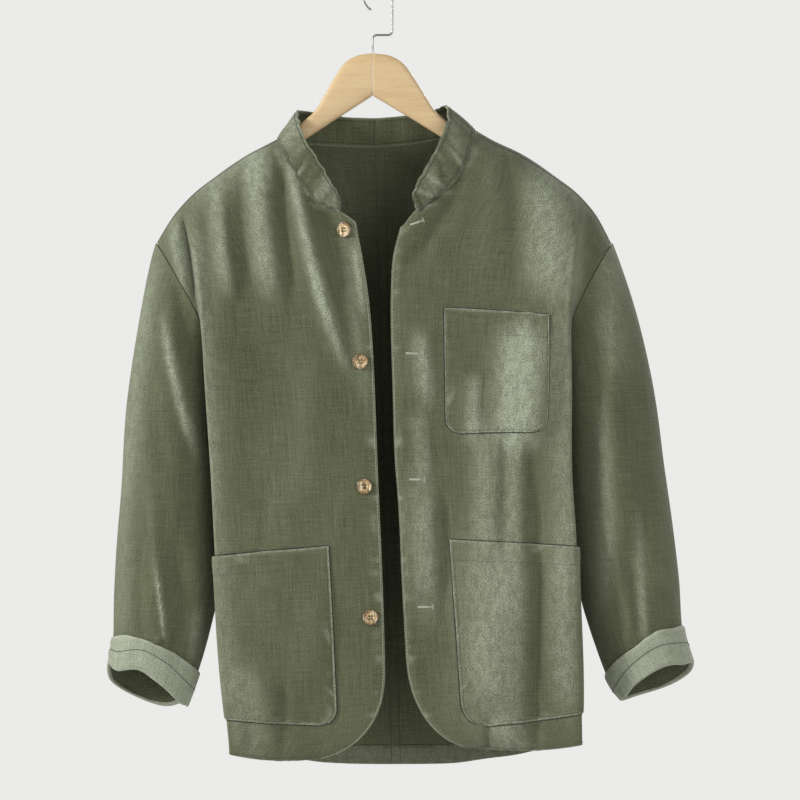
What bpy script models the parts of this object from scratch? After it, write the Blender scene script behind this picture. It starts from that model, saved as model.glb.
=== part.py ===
"""Shirt jacket on a wooden clothes hanger: the sewn pieces as thin walls, with the buttons, hanger and hook.

Sizes are in millimetres, and each mesh is made in metres. The origin is the seat of the hook, where a rail
would carry it. X runs across the front, +Y to the back and +Z up; "drop" is the distance below the origin.
Right and left are the wearer's: the right front, with the buttons, lies at -X.
"""

import math
from collections import namedtuple

import bpy
import numpy as np

# Driving sizes
MM = 0.001
CLOTH = 1.6
CUFF_CLOTH = 2.2
SEAM_GAP = 0.3
RIGHT, LEFT = -1, 1
FRONT, BACK = -1, 1
SIDES = {"right": RIGHT, "left": LEFT}

# The body hangs flat on the hanger with its sides turned back
FRONT_DEPTH = 60.0
BACK_DEPTH = 60.0
SIDE_SEAM_Y = 4.0
FRONT_EDGE_Y = -58.0
FOLD_AT = 0.78
FOLD_SOFTNESS = 0.09
NECK_SHARE = 0.13
ARMHOLE_SHARE = 0.24
SHOULDER_CENTRE = 6.5
SHOULDER_ROUND_SHARE = 0.25
SHOULDER_BOW_SHARE = 0.30
HEM_SAG = {(RIGHT, FRONT): 6.0, (LEFT, FRONT): 6.0, (RIGHT, BACK): 9.0, (LEFT, BACK): 13.0}
HEM_SAG_POWER = 6
BACK_HEM_DROP = 899.0
CENTRE_BACK_X_HEM = 16.0

# How wide the body is at each height, as half widths either side of its leaning centre line
BodyRow = namedtuple("BodyRow", "drop centre front_half seam_half back_half")
BODY = [
    BodyRow(246, 6.5, 227.0, 227, 227),
    BodyRow(271, 7.0, 226.0, 224, 224),
    BodyRow(304, 7.0, 219.0, 217, 217),
    BodyRow(340, 7.5, 214.5, 209, 208),
    BodyRow(378, 8.5, 212.0, 202, 200),
    BodyRow(440, 11.0, 211.5, 192, 188),
    BodyRow(565, 15.5, 207.5, 189, 182),
    BodyRow(634, 19.5, 208.0, 189, 180),
    BodyRow(705, 22.5, 207.0, 188, 179),
    BodyRow(797, 27.5, 205.5, 187, 177),
    BodyRow(895, 33.0, 201.0, 184, 174),
]

# The line of each shoulder seam over the hanger, out to the dropped tip
ShoulderRow = namedtuple("ShoulderRow", "drop right_half left_half")
SHOULDER = [
    ShoulderRow(165, 100.0, 100),
    ShoulderRow(178, 122.0, 122),
    ShoulderRow(197, 158.0, 161),
    ShoulderRow(220, 191.5, 195),
    ShoulderRow(246, 223.5, 227),
    ShoulderRow(267, 241.5, 244),
    ShoulderRow(297, 260.0, 260),
]

# The armhole seam from the shoulder tip down to the underarm
ArmholeRow = namedtuple("ArmholeRow", "half front_y back_y drop")
ARMHOLE = [
    ArmholeRow(260, 0, 0, 297),
    ArmholeRow(255, -24, 24, 304),
    ArmholeRow(247, -38, 38, 317),
    ArmholeRow(236, -45, 45, 336),
    ArmholeRow(217, -47, 47, 371),
    ArmholeRow(200, -30, 34, 414),
    ArmholeRow(192, SIDE_SEAM_Y, SIDE_SEAM_Y, 440),
]

# The stand collar, from the centre back round to its front tip: the seam below and the free edge above
CollarRow = namedtuple("CollarRow", "seam_x seam_y seam_drop top_x top_y top_drop")
COLLAR = {
    RIGHT: [
        CollarRow(-3, 62, 182, -3, 54, 150),
        CollarRow(-48, 58, 181, -40, 50, 149),
        CollarRow(-88, 43, 179, -69, 36, 146),
        CollarRow(-109, 20, 178, -87, 17, 144),
        CollarRow(-115, 0, 178, -92, 0, 146),
        CollarRow(-113, -18, 184, -90, -17, 160),
        CollarRow(-105, -33, 201, -83, -31, 179),
        CollarRow(-93, -43, 220, -73, -39, 196),
        CollarRow(-80, -49, 238, -62, -44, 213),
        CollarRow(-65, -53, 254, -50, -48, 233),
        CollarRow(-43, -55, 262, -41, -51, 251),
    ],
    LEFT: [
        CollarRow(-3, 62, 182, -3, 54, 150),
        CollarRow(42, 58, 178, 34, 50, 147),
        CollarRow(82, 43, 172, 62, 36, 142),
        CollarRow(104, 20, 167, 76, 17, 139),
        CollarRow(109.5, 0, 167, 78, 0, 140),
        CollarRow(107, -19, 179, 80, -18, 153),
        CollarRow(99, -34, 205, 74, -32, 174),
        CollarRow(90, -42, 222, 64, -40, 195),
        CollarRow(77.5, -48, 236, 51, -46, 217),
        CollarRow(62, -52, 248, 41, -49, 238),
        CollarRow(43, -55, 261, 38.5, -51, 250),
    ],
}
COLLAR_SHOULDER_ROW = 4
COLLAR_LIFT = 1.3

# The free front edges, which hang apart
EdgeRow = namedtuple("EdgeRow", "drop right_x left_x")
FRONT_EDGE = [
    EdgeRow(275, -25.0, 27.0),
    EdgeRow(313, -18.0, 17.5),
    EdgeRow(353, -11.5, 15.0),
    EdgeRow(416, -6.0, 15.4),
    EdgeRow(466, -3.5, 17.0),
    EdgeRow(536, -1.0, 19.0),
    EdgeRow(606, 2.0, 24.0),
    EdgeRow(676, 5.0, 27.0),
    EdgeRow(782, 8.0, 33.0),
    EdgeRow(895, 8.0, 42.0),
]
NECK_POINT = {RIGHT: (-25.0, -57.0, 275.0), LEFT: (27.0, -57.0, 281.0)}

# The rounded front hem corners
HemCorner = namedtuple("HemCorner", "start_drop hem_drop width power")
HEM_CORNER = {RIGHT: HemCorner(782, 885, 100, 2.3), LEFT: HemCorner(770, 872, 78, 2.2)}
FRONT_HEM_SIDE_DROP = {RIGHT: 872.0, LEFT: 860.0}
BACK_HEM_SIDE_DROP = {RIGHT: 872.0, LEFT: 858.0}

# The sleeves, as rings from the armhole down to the rim of the turned-up cuff
SleeveRow = namedtuple("SleeveRow", "outer_x outer_drop inner_x inner_drop half_depth mid_y front_lift")
SLEEVE = {
    RIGHT: [
        SleeveRow(-258, 306, -184, 446, 48, 2, 0),
        SleeveRow(-272, 356, -187, 480, 58, 6, 0),
        SleeveRow(-283, 432, -188, 522, 62, 8, 0),
        SleeveRow(-290, 503, -187, 585, 60, 8, 0),
        SleeveRow(-294, 577, -186, 642, 57, 6, 2),
        SleeveRow(-299, 640, -184, 693, 52, 2, 6),
        SleeveRow(-302, 701, -195, 746, 48, -2, 13),
        SleeveRow(-303, 756, -208, 789, 45, -4, 20),
        SleeveRow(-308, 793, -221, 826, 45, -6, 18),
    ],
    LEFT: [
        SleeveRow(271, 303, 206, 446, 48, 2, 0),
        SleeveRow(289, 350, 210, 480, 58, 6, 0),
        SleeveRow(305, 405, 214, 522, 62, 8, 0),
        SleeveRow(319, 485, 218, 585, 60, 8, 0),
        SleeveRow(327, 548, 222, 642, 57, 6, 2),
        SleeveRow(336, 613, 227, 675, 52, 2, 5),
        SleeveRow(344, 682, 238, 722, 48, -2, 10),
        SleeveRow(348, 742, 263, 792, 44, -4, 19),
        SleeveRow(360, 784, 281, 820, 44, -6, 15),
    ],
}
SLEEVE_CAP_SHARE = 0.36
SLEEVE_START_GAP = 3.6
CUFF_START = 0.875
CUFF_SLACK = 1.0

# The largest folds: soft ridges, or troughs where the height is below nought, from one point to another
FoldRow = namedtuple("FoldRow", "x drop end_x end_drop half_width height")
FRONT_FOLDS = {
    RIGHT: [
        FoldRow(-100, 240, -49, 414, 17, 5),
        FoldRow(-82, 245, -52, 345, 14, -4),
        FoldRow(-149, 215, -123, 344, 18, 5),
        FoldRow(-186, 270, -172, 352, 15, 4),
        FoldRow(-120, 430, -128, 600, 24, 4),
    ],
    LEFT: [
        FoldRow(205, 250, 208, 325, 18, 5),
        FoldRow(150, 200, 135, 330, 20, 4),
    ],
}
FOLD_END_FADE = 0.25
FOLD_FREE_EDGE_SHARE = 0.12
FOLD_FREE_TOP_SHARE = 0.06

# The patch pockets, laid on the fronts; an outer edge of None runs into the side seam
PocketRow = namedtuple(
    "PocketRow", "side inner_top inner_low outer_top outer_low drop_in drop_out low_in low_out corner puff"
)
POCKETS = {
    "chest_pocket": PocketRow(LEFT, 75, 77, 194, 191, 372, 380, 514, 512, 17, 1.2),
    "pocket_right": PocketRow(RIGHT, -56, -46, None, None, 642, 648, 845, 838, 20, 2.4),
    "pocket_left": PocketRow(LEFT, 82, 96, None, None, 635, 636, 846, 828, 26, 2.4),
}
POCKET_SEAM_SHARE = 0.985
POCKET_SIDE_PLACE = 0.9
POCKET_CORNER_SHARE = 0.16

# Where the search for a place on a front starts, and how it goes on
PLACE_START = (0.4, 0.5)
PLACE_STEPS = 12
PLACE_NUDGE = 1e-4

# The buttons down the right front
ButtonRow = namedtuple("ButtonRow", "x drop")
BUTTONS = [ButtonRow(-37, 283), ButtonRow(-20, 433), ButtonRow(-15.5, 574.5), ButtonRow(-8.5, 723)]
BUTTON_RADIUS = 9.0
BUTTON_HEIGHT = 3.2
BUTTON_FOOT_INSET = 1.2
BUTTON_WIDEST_HEIGHT = 1.4
BUTTON_CROWN_INSET = 0.8
BUTTON_RIM = 2.4
BUTTON_DISH = 0.9
BUTTON_SEAT_GAP = 0.6
BUTTON_STEPS = 16

# The hanger, a wishbone of two halves, and its wire hook
HangerRow = namedtuple("HangerRow", "half top_drop low_drop")
HANGER_NECK = [
    HangerRow(SEAM_GAP / 2, 78.7, 127.6),
    HangerRow(20, 82.5, 140.5),
    HangerRow(33, 91.0, 149.0),
    HangerRow(44, 107.0, 156.0),
    HangerRow(56, 128.0, 164.0),
    HangerRow(65, 143.0, 170.0),
    HangerRow(80, 157.0, 180.0),
]
HANGER_CENTRE_X = -6.3
HANGER_LEFT_STRETCH = 1.08
HANGER_REACH = 205.0
HANGER_ARM_STATIONS = 6
HANGER_ARM_HEIGHT = (23.0, 15.0)
HANGER_THICKNESS = 12.0
HANGER_SECTION_POWER = 3.0
HANGER_SECTION_STEPS = 12
HANGER_CLOTH_GAP = 0.8
HANGER_NECK_CLEARANCE = 2.0
HANGER_CLEARANCE_POWER = 4
WIRE_RADIUS = 1.2
HOOK_INNER_RADIUS = 15.0
HOOK_OFFSET_DROP = 58.0
HOOK_BEND_RADIUS = 5.0
HOOK_END_ANGLE = math.radians(238)
HOOK_ARC_STEPS = 20
BEND_STEPS = 5

# How finely the cloth is faceted
NECK_ROWS, BODY_ROWS, CORNER_ROWS = 7, 10, 6
BACK_BODY_ROWS = 11
FIRST_ROW = 0.004
PLANE_COLUMNS, SIDE_COLUMNS = 8, 6
SLEEVE_STEPS, SLEEVE_ROWS = 16, 13
CUFF_ROWS = 4
COLLAR_COLUMNS, COLLAR_ROWS = 15, 4
POCKET_COLUMNS, POCKET_STRAIGHT_ROWS, POCKET_CORNER_ROWS = 6, 5, 5
SHARP_ANGLE = math.radians(40)

# Colours as linear values, roughness and metal
CLOTH_FINISH = ((0.122, 0.141, 0.078), 0.92, 0.0)
CUFF_FINISH = ((0.235, 0.275, 0.185), 0.92, 0.0)
WOOD_FINISH = ((0.66, 0.45, 0.24), 0.45, 0.0)
BUTTON_FINISH = ((0.33, 0.21, 0.09), 0.3, 0.0)
WIRE_FINISH = ((0.35, 0.35, 0.35), 0.35, 1.0)


def column(rows, name):
    return np.array([getattr(row, name) for row in rows], float)


def curve(knots, values, at):
    """A smooth curve through the values at the knots, each knot's slope taken from its neighbours."""
    knots = np.asarray(knots, float)
    values = np.asarray(values, float)
    slopes = np.gradient(values, knots, axis=0)
    at = np.clip(np.asarray(at, float), knots[0], knots[-1])
    i = np.clip(np.searchsorted(knots, at, side="right") - 1, 0, len(knots) - 2)
    width = knots[i + 1] - knots[i]
    f = (at - knots[i]) / width
    if values.ndim > 1:
        width = width[..., None]
        f = f[..., None]
    start = (1 + 2 * f) * (1 - f) ** 2 * values[i] + f * (1 - f) ** 2 * width * slopes[i]
    return start + f**2 * (3 - 2 * f) * values[i + 1] + f**2 * (f - 1) * width * slopes[i + 1]


def along(points, share):
    """The point at a share of the way along a smooth line through these points."""
    points = np.asarray(points, float)
    reach = np.concatenate([[0], np.cumsum(np.linalg.norm(np.diff(points, axis=0), axis=1))])
    return curve(reach / reach[-1], points, share)


def soft_ramp(value, softness):
    """Nought below zero and the value itself above, rounded over the softness either side."""
    rounded = (value + softness) ** 2 / (4 * softness)
    return np.where(value < -softness, 0, np.where(value > softness, value, rounded))


def smooth_step(value):
    value = np.clip(value, 0, 1)
    return value * value * (3 - 2 * value)


def fade_in(value, width):
    """A smooth rise from nought to one over this width, half way up where the value is nought."""
    return smooth_step(value / width + 0.5)


def body_half(name, drop):
    return curve(column(BODY, "drop"), column(BODY, name), drop)


def shoulder_drop(side, half):
    name = "right_half" if side == RIGHT else "left_half"
    return curve(column(SHOULDER, name), column(SHOULDER, "drop"), half)


def armhole_points(side, face):
    """The armhole seam's own points, from the shoulder tip to the underarm."""
    drop = column(ARMHOLE, "drop")
    x = body_half("centre", drop) + side * column(ARMHOLE, "half")
    y = column(ARMHOLE, "front_y" if face == FRONT else "back_y")
    return np.stack([x, y, drop], axis=-1)


def neck_points(side, face):
    """The neckline seam's own points, from the shoulder to the front's top corner or to the centre back."""
    rows = COLLAR[side]
    seam = np.stack([column(rows, "seam_x"), column(rows, "seam_y"), column(rows, "seam_drop")], axis=-1)
    if face == FRONT:
        return np.concatenate([seam[COLLAR_SHOULDER_ROW:], [NECK_POINT[side]]])
    return seam[COLLAR_SHOULDER_ROW::-1]


def front_edge_x(side, drop):
    """The free front edge, with its rounded corner at the hem."""
    x = curve(column(FRONT_EDGE, "drop"), column(FRONT_EDGE, "right_x" if side == RIGHT else "left_x"), drop)
    corner = HEM_CORNER[side]
    fall = np.clip((drop - corner.start_drop) / (corner.hem_drop - corner.start_drop), 0, 1)
    inset = corner.width * (1 - (1 - fall**corner.power) ** (1 / corner.power))
    return x + side * inset


def inner_edge(side, face, t):
    """The panel's edge at the neck and down the centre: x, y and drop."""
    neck = neck_points(side, face)
    on_neck = along(neck, np.clip(t / NECK_SHARE, 0, 1))
    below = np.clip((t - NECK_SHARE) / (1 - NECK_SHARE), 0, 1)
    hem_drop = HEM_CORNER[side].hem_drop if face == FRONT else BACK_HEM_DROP
    drop = neck[-1, 2] + (hem_drop - neck[-1, 2]) * below
    if face == FRONT:
        x = front_edge_x(side, drop)
        y = FRONT_EDGE_Y
    else:
        x = neck[-1, 0] + (CENTRE_BACK_X_HEM - neck[-1, 0]) * below
        y = BACK_DEPTH
    y = neck[-1, 1] + (y - neck[-1, 1]) * smooth_step(below / NECK_SHARE)
    down = np.stack([x, y, drop], axis=-1)
    return np.where((t < NECK_SHARE)[..., None], on_neck, down)


def outer_edge(side, face, t):
    """The panel's edge at the armhole and down the side seam: x, y and drop."""
    armhole = armhole_points(side, face)
    on_armhole = along(armhole, np.clip(t / ARMHOLE_SHARE, 0, 1))
    below = np.clip((t - ARMHOLE_SHARE) / (1 - ARMHOLE_SHARE), 0, 1)
    hem_drop = FRONT_HEM_SIDE_DROP[side] if face == FRONT else BACK_HEM_SIDE_DROP[side]
    drop = armhole[-1, 2] + (hem_drop - armhole[-1, 2]) * below
    x = body_half("centre", drop) + side * body_half("seam_half", drop)
    down = np.stack([x, np.full_like(drop, SIDE_SEAM_Y), drop], axis=-1)
    return np.where((t < ARMHOLE_SHARE)[..., None], on_armhole, down)


def fold_relief(side, x, drop):
    """How far the large folds lift a front off its plane."""
    lift = np.zeros_like(x)
    for fold in FRONT_FOLDS[side]:
        run = np.array([fold.end_x - fold.x, fold.end_drop - fold.drop], float)
        length = np.hypot(*run)
        ahead = ((x - fold.x) * run[0] + (drop - fold.drop) * run[1]) / length**2
        aside = ((x - fold.x) * run[1] - (drop - fold.drop) * run[0]) / length
        fade = fade_in(ahead, FOLD_END_FADE) * fade_in(1 - ahead, FOLD_END_FADE)
        lift = lift + fold.height * np.exp(-((aside / fold.half_width) ** 2)) * fade
    return lift


def round_the_side(s):
    """How far across the flat of a panel, and how far round its turned-back side, each from nought to one."""
    turned = soft_ramp(s - FOLD_AT, FOLD_SOFTNESS)
    return (s - turned) / FOLD_AT, turned / (1 - FOLD_AT)


def shoulder_bow(side, s, t):
    """How far the shoulder seam lies below the straight line from neck to tip, fading down the panel."""
    neck = neck_points(side, FRONT)[0]
    tip = armhole_points(side, FRONT)[0]
    fold_x = SHOULDER_CENTRE + side * BODY[0].front_half
    across, turned = round_the_side(s)
    x = neck[0] + (fold_x - neck[0]) * across + (tip[0] - fold_x) * turned
    bow = shoulder_drop(side, np.abs(x - SHOULDER_CENTRE)) - (neck[2] + (tip[2] - neck[2]) * s)
    return bow * np.clip(1 - t / SHOULDER_BOW_SHARE, 0, 1) ** 2


def panel(side, face, s, t):
    """Points of a body panel: s from its centre edge to its outer edge, t from the shoulder to the hem."""
    s, t = np.broadcast_arrays(np.asarray(s, float), np.asarray(t, float))
    inner = inner_edge(side, face, t)
    outer = outer_edge(side, face, t)
    across, turned = round_the_side(s)
    fall = outer[..., 2] - inner[..., 2]
    sag = HEM_SAG[side, face] * np.sin(math.pi * s) * t**HEM_SAG_POWER
    drop = inner[..., 2] + fall * s + shoulder_bow(side, s, t) + sag

    fold_drop = inner[..., 2] + fall * FOLD_AT + shoulder_bow(side, np.full_like(s, FOLD_AT), t)
    half = body_half("front_half" if face == FRONT else "back_half", fold_drop)
    fold_x = body_half("centre", fold_drop) + side * half
    x = inner[..., 0] + (fold_x - inner[..., 0]) * across + (outer[..., 0] - fold_x) * turned

    round_top = np.sqrt(1 - (1 - np.clip(t / SHOULDER_ROUND_SHARE, 0, 1)) ** 2)
    depth = FRONT_DEPTH if face == FRONT else BACK_DEPTH
    plane_y = inner[..., 1] + (face * depth * round_top - inner[..., 1]) * across
    if face == FRONT:
        free = smooth_step(across / FOLD_FREE_EDGE_SHARE) * smooth_step(t / FOLD_FREE_TOP_SHARE)
        plane_y = plane_y - fold_relief(side, x, drop) * free
    y = plane_y + (outer[..., 1] - plane_y) * turned + face * SEAM_GAP / 2
    return np.stack([x + side * SEAM_GAP / 2, y, -drop], axis=-1)


def outward(points, wrap=False):
    """Unit normals of a grid of points; wrap joins its last column to its first."""
    if wrap:
        along_columns = np.roll(points, -1, axis=1) - np.roll(points, 1, axis=1)
    else:
        along_columns = np.gradient(points, axis=1)
    normal = np.cross(np.gradient(points, axis=0), along_columns)
    return normal / np.linalg.norm(normal, axis=-1, keepdims=True)


def panel_normals(points, t):
    """A panel's normals, laid square to its shoulder seam and side seam so that their edges face."""
    normals = outward(points)
    normals[0, :, 1] = 0
    normals[np.ravel(t) >= ARMHOLE_SHARE, -1, 1] = 0
    return normals / np.linalg.norm(normals, axis=-1, keepdims=True)


def panel_rows(face, side):
    """The heights at which a panel is faceted, closer together at the neck and at a round hem corner."""
    neck = np.linspace(0, NECK_SHARE, NECK_ROWS + 1)[1:]
    if face == BACK:
        return np.concatenate([[0, FIRST_ROW], neck, np.linspace(NECK_SHARE, 1, BACK_BODY_ROWS)[1:]])
    corner = HEM_CORNER[side]
    start = (corner.start_drop - NECK_POINT[side][2]) / (corner.hem_drop - NECK_POINT[side][2])
    start = NECK_SHARE + (1 - NECK_SHARE) * start
    round_rows = start + (1 - start) * np.sin(np.linspace(0, math.pi / 2, CORNER_ROWS + 1))
    middle = np.linspace(NECK_SHARE, start, BODY_ROWS)[1:]
    return np.concatenate([[0, FIRST_ROW], neck, middle, round_rows[1:]])


def panel_columns():
    plane = np.linspace(0, FOLD_AT - FOLD_SOFTNESS, PLANE_COLUMNS)
    return np.concatenate([plane, np.linspace(FOLD_AT - FOLD_SOFTNESS, 1, SIDE_COLUMNS + 1)[1:]])


def signed_volume(points, faces):
    total = 0.0
    for face in faces:
        first = points[face[0]]
        for b, c in zip(face[1:-1], face[2:]):
            total += np.dot(first, np.cross(points[b], points[c]))
    return total / 6


def solid(name, points, faces, finish):
    """One object from points in millimetres, its faces turned outwards."""
    points = np.asarray(points, float)
    if signed_volume(points, faces) < 0:
        faces = [face[::-1] for face in faces]
    mesh = bpy.data.meshes.new(name)
    mesh.from_pydata((points * MM).tolist(), [], faces)
    mesh.update()
    mesh.shade_smooth()
    mesh.set_sharp_from_angle(angle=SHARP_ANGLE)
    mesh.materials.append(material(name, *finish))
    piece = bpy.data.objects.new(name, mesh)
    bpy.context.collection.objects.link(piece)
    return piece


def material(name, colour, roughness, metallic):
    made = bpy.data.materials.new(name)
    made.use_nodes = True
    shader = made.node_tree.nodes["Principled BSDF"]
    shader.inputs["Base Color"].default_value = (*colour, 1)
    shader.inputs["Roughness"].default_value = roughness
    shader.inputs["Metallic"].default_value = metallic
    return made


def grid_faces(rows, columns, start, wrap):
    """Four-sided faces of a grid whose first point has this number."""
    faces = []
    for r in range(rows - 1):
        for c in range(columns if wrap else columns - 1):
            a = start + r * columns + c
            b = start + r * columns + (c + 1) % columns
            faces.append((a, b, b + columns, a + columns))
    return faces


def wall(name, middle, normals, thickness, finish, wrap=False):
    """A closed wall of even thickness about a grid of points."""
    rows, columns = middle.shape[:2]
    out = normals * thickness / 2
    points = np.concatenate([(middle + out).reshape(-1, 3), (middle - out).reshape(-1, 3)])
    under = rows * columns
    faces = grid_faces(rows, columns, 0, wrap)
    faces += [face[::-1] for face in grid_faces(rows, columns, under, wrap)]
    rims = [list(range(columns)), list(range(under - 1, under - columns - 1, -1))]
    for rim in rims:
        ends = zip(rim, rim[1:] + rim[:1]) if wrap else zip(rim, rim[1:])
        faces += [(b, a, a + under, b + under) for a, b in ends]
    if not wrap:
        last = [r * columns + columns - 1 for r in range(rows)]
        first = [r * columns for r in range(rows - 1, -1, -1)]
        for rim in (last, first):
            faces += [(b, a, a + under, b + under) for a, b in zip(rim, rim[1:])]
    return solid(name, points, faces, finish)


def make_panels():
    s = panel_columns()[None, :]
    for side_name, side in SIDES.items():
        for face_name, face in (("front", FRONT), ("back", BACK)):
            t = panel_rows(face, side)[:, None]
            points = panel(side, face, s, t)
            wall(f"{face_name}_{side_name}", points, panel_normals(points, t), CLOTH, CLOTH_FINISH)


def sleeve(side, turn, share):
    """Points of a sleeve: turn goes round from the shoulder over the front, share from armhole to rim."""
    turn, share = np.broadcast_arrays(np.asarray(turn, float), np.asarray(share, float))
    rows = SLEEVE[side]
    knots = np.linspace(0, 1, len(rows))
    ring = {name: curve(knots, column(rows, name), share) for name in SleeveRow._fields}
    cosine, sine = np.cos(turn), np.sin(turn)
    x = (ring["outer_x"] + ring["inner_x"]) / 2 + (ring["outer_x"] - ring["inner_x"]) / 2 * cosine
    drop = (ring["outer_drop"] + ring["inner_drop"]) / 2
    drop = drop + (ring["outer_drop"] - ring["inner_drop"]) / 2 * cosine - ring["front_lift"] * sine
    y = ring["mid_y"] - ring["half_depth"] * sine
    hanging = np.stack([x, y, -drop], axis=-1)

    down = np.abs((turn + math.pi) % (2 * math.pi) - math.pi) / math.pi
    front = along(armhole_points(side, FRONT), down)
    back = along(armhole_points(side, BACK), down)
    seam = np.where((sine >= 0)[..., None], front, back) * [1, 1, -1]
    seam = seam + [side * SLEEVE_START_GAP, 0, 0]
    cap = 1 - smooth_step(share / SLEEVE_CAP_SHARE)[..., None]
    return hanging + (seam - hanging) * cap


def make_sleeves():
    turn = np.arange(SLEEVE_STEPS) * 2 * math.pi / SLEEVE_STEPS
    for side_name, side in SIDES.items():
        turned_up = np.linspace(CUFF_START, 1, CUFF_ROWS)
        share = np.concatenate([np.linspace(0, CUFF_START, SLEEVE_ROWS), turned_up[1:]])
        points = sleeve(side, turn[None, :], share[:, None])
        normals = outward(points, True)
        wall(f"sleeve_{side_name}", points, normals, CLOTH, CLOTH_FINISH, True)
        under = points[-CUFF_ROWS:]
        out = normals[-CUFF_ROWS:]
        away = np.sign(np.sum(out * (under - under.mean(axis=1, keepdims=True))))
        stand = CLOTH / 2 + SEAM_GAP + CUFF_CLOTH / 2 + CUFF_SLACK * np.linspace(1, 0, CUFF_ROWS)
        cuff = under + out * away * stand[:, None, None]
        wall(f"cuff_{side_name}", cuff, out, CUFF_CLOTH, CUFF_FINISH, True)


def collar_line(side, edge, share):
    """The collar's seam or its top edge, from the centre back to the tip: x, y and drop."""
    rows = COLLAR[side]
    knots = np.linspace(0, 1, len(rows))
    names = [f"{edge}_{axis}" for axis in ("x", "y", "drop")]
    return np.stack([curve(knots, column(rows, name), share) for name in names], axis=-1)


def make_collar():
    share = np.linspace(0, 1, COLLAR_COLUMNS)
    height = np.linspace(0, 1, COLLAR_ROWS)[:, None, None]
    for side_name, side in SIDES.items():
        seam = collar_line(side, "seam", share)
        top = collar_line(side, "top", share)
        rise = top - seam
        seam = seam + rise / np.linalg.norm(rise, axis=-1, keepdims=True) * COLLAR_LIFT
        points = (seam + (top - seam) * height) * [1, 1, -1]
        points[..., 0] += side * SEAM_GAP / 2
        wall(f"collar_{side_name}", points, outward(points), CLOTH, CLOTH_FINISH)


def panel_place(side, x, drop):
    """The s and t of a front panel at a place on it, found by Newton's steps from its middle."""
    x, drop = np.broadcast_arrays(np.asarray(x, float), np.asarray(drop, float))
    s = np.full(x.shape, PLACE_START[0])
    t = np.full(x.shape, PLACE_START[1])
    for _ in range(PLACE_STEPS):
        here = panel(side, FRONT, s, t)
        by_s = (panel(side, FRONT, s + PLACE_NUDGE, t) - here) / PLACE_NUDGE
        by_t = (panel(side, FRONT, s, t + PLACE_NUDGE) - here) / PLACE_NUDGE
        miss_x = x - here[..., 0]
        miss_z = -drop - here[..., 2]
        det = by_s[..., 0] * by_t[..., 2] - by_t[..., 0] * by_s[..., 2]
        s = np.clip(s + (miss_x * by_t[..., 2] - miss_z * by_t[..., 0]) / det, 0, FOLD_AT)
        t = np.clip(t + (miss_z * by_s[..., 0] - miss_x * by_s[..., 2]) / det, 0, 1 - PLACE_NUDGE)
    return s, t


def pocket_heights():
    """The heights at which a pocket is faceted, from its mouth to its foot, closer at the round corners."""
    straight = np.linspace(0, 1 - POCKET_CORNER_SHARE, POCKET_STRAIGHT_ROWS)
    corner = 1 - POCKET_CORNER_SHARE * np.cos(np.linspace(0, math.pi / 2, POCKET_CORNER_ROWS + 1))
    return np.concatenate([straight, corner[1:-1], [1.0]])


def pocket_edges(pocket, b):
    """The s and t of the pocket's inner edge and of its outer edge at these heights."""
    drop_in = pocket.drop_in + (pocket.low_in - pocket.drop_in) * b
    drop_out = pocket.drop_out + (pocket.low_out - pocket.drop_out) * b
    into_corner = np.clip((drop_in - (pocket.low_in - pocket.corner)) / pocket.corner, 0, 1)
    inset = pocket.corner * (1 - np.sqrt(1 - into_corner**2)) * pocket.side
    x_in = pocket.inner_top + (pocket.inner_low - pocket.inner_top) * b + inset
    inner = panel_place(pocket.side, x_in, drop_in)
    if pocket.outer_top is None:
        half = body_half("front_half", drop_out) * POCKET_SIDE_PLACE
        near_fold = panel_place(pocket.side, body_half("centre", drop_out) + pocket.side * half, drop_out)
        return inner, (np.full_like(b, POCKET_SEAM_SHARE), near_fold[1])
    x_out = pocket.outer_top + (pocket.outer_low - pocket.outer_top) * b - inset
    return inner, panel_place(pocket.side, x_out, drop_out)


def pocket_grid(pocket):
    """The pocket's s and t on its front, and its own shares across and down, as a grid from mouth to foot."""
    b = pocket_heights()[:, None]
    (s_in, t_in), (s_out, t_out) = pocket_edges(pocket, b)
    flat_end = np.minimum(s_out, FOLD_AT - FOLD_SOFTNESS)
    s = s_in + (flat_end - s_in) * np.linspace(0, 1, POCKET_COLUMNS)
    if pocket.outer_top is None:
        side_columns = panel_columns()[PLANE_COLUMNS:]
        side_columns[-1] = POCKET_SEAM_SHARE
        s = np.concatenate([s, np.tile(side_columns, (len(b), 1))], axis=1)
    a = (s - s_in) / (s_out - s_in)
    return s, t_in + (t_out - t_in) * a, a, b


def make_pockets():
    for name, pocket in POCKETS.items():
        s, t, a, b = pocket_grid(pocket)
        under = panel(pocket.side, FRONT, s, t)
        puff = pocket.puff * np.sin(math.pi * a) * np.sqrt(np.sin(math.pi * b).clip(0))
        stand = CLOTH + SEAM_GAP + puff
        out = outward(under)
        forward = -np.sign(out[..., 1].sum())
        wall(name, under + out * forward * stand[..., None], out, CLOTH, CLOTH_FINISH)


def button_profile():
    """A turned button's rings, from its foot round its rim into its dish: radius and height."""
    dish = BUTTON_HEIGHT - BUTTON_DISH
    return [
        (BUTTON_RADIUS - BUTTON_FOOT_INSET, 0.0),
        (BUTTON_RADIUS, BUTTON_WIDEST_HEIGHT),
        (BUTTON_RADIUS - BUTTON_CROWN_INSET, BUTTON_HEIGHT),
        (BUTTON_RADIUS - BUTTON_RIM, dish),
    ]


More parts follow.
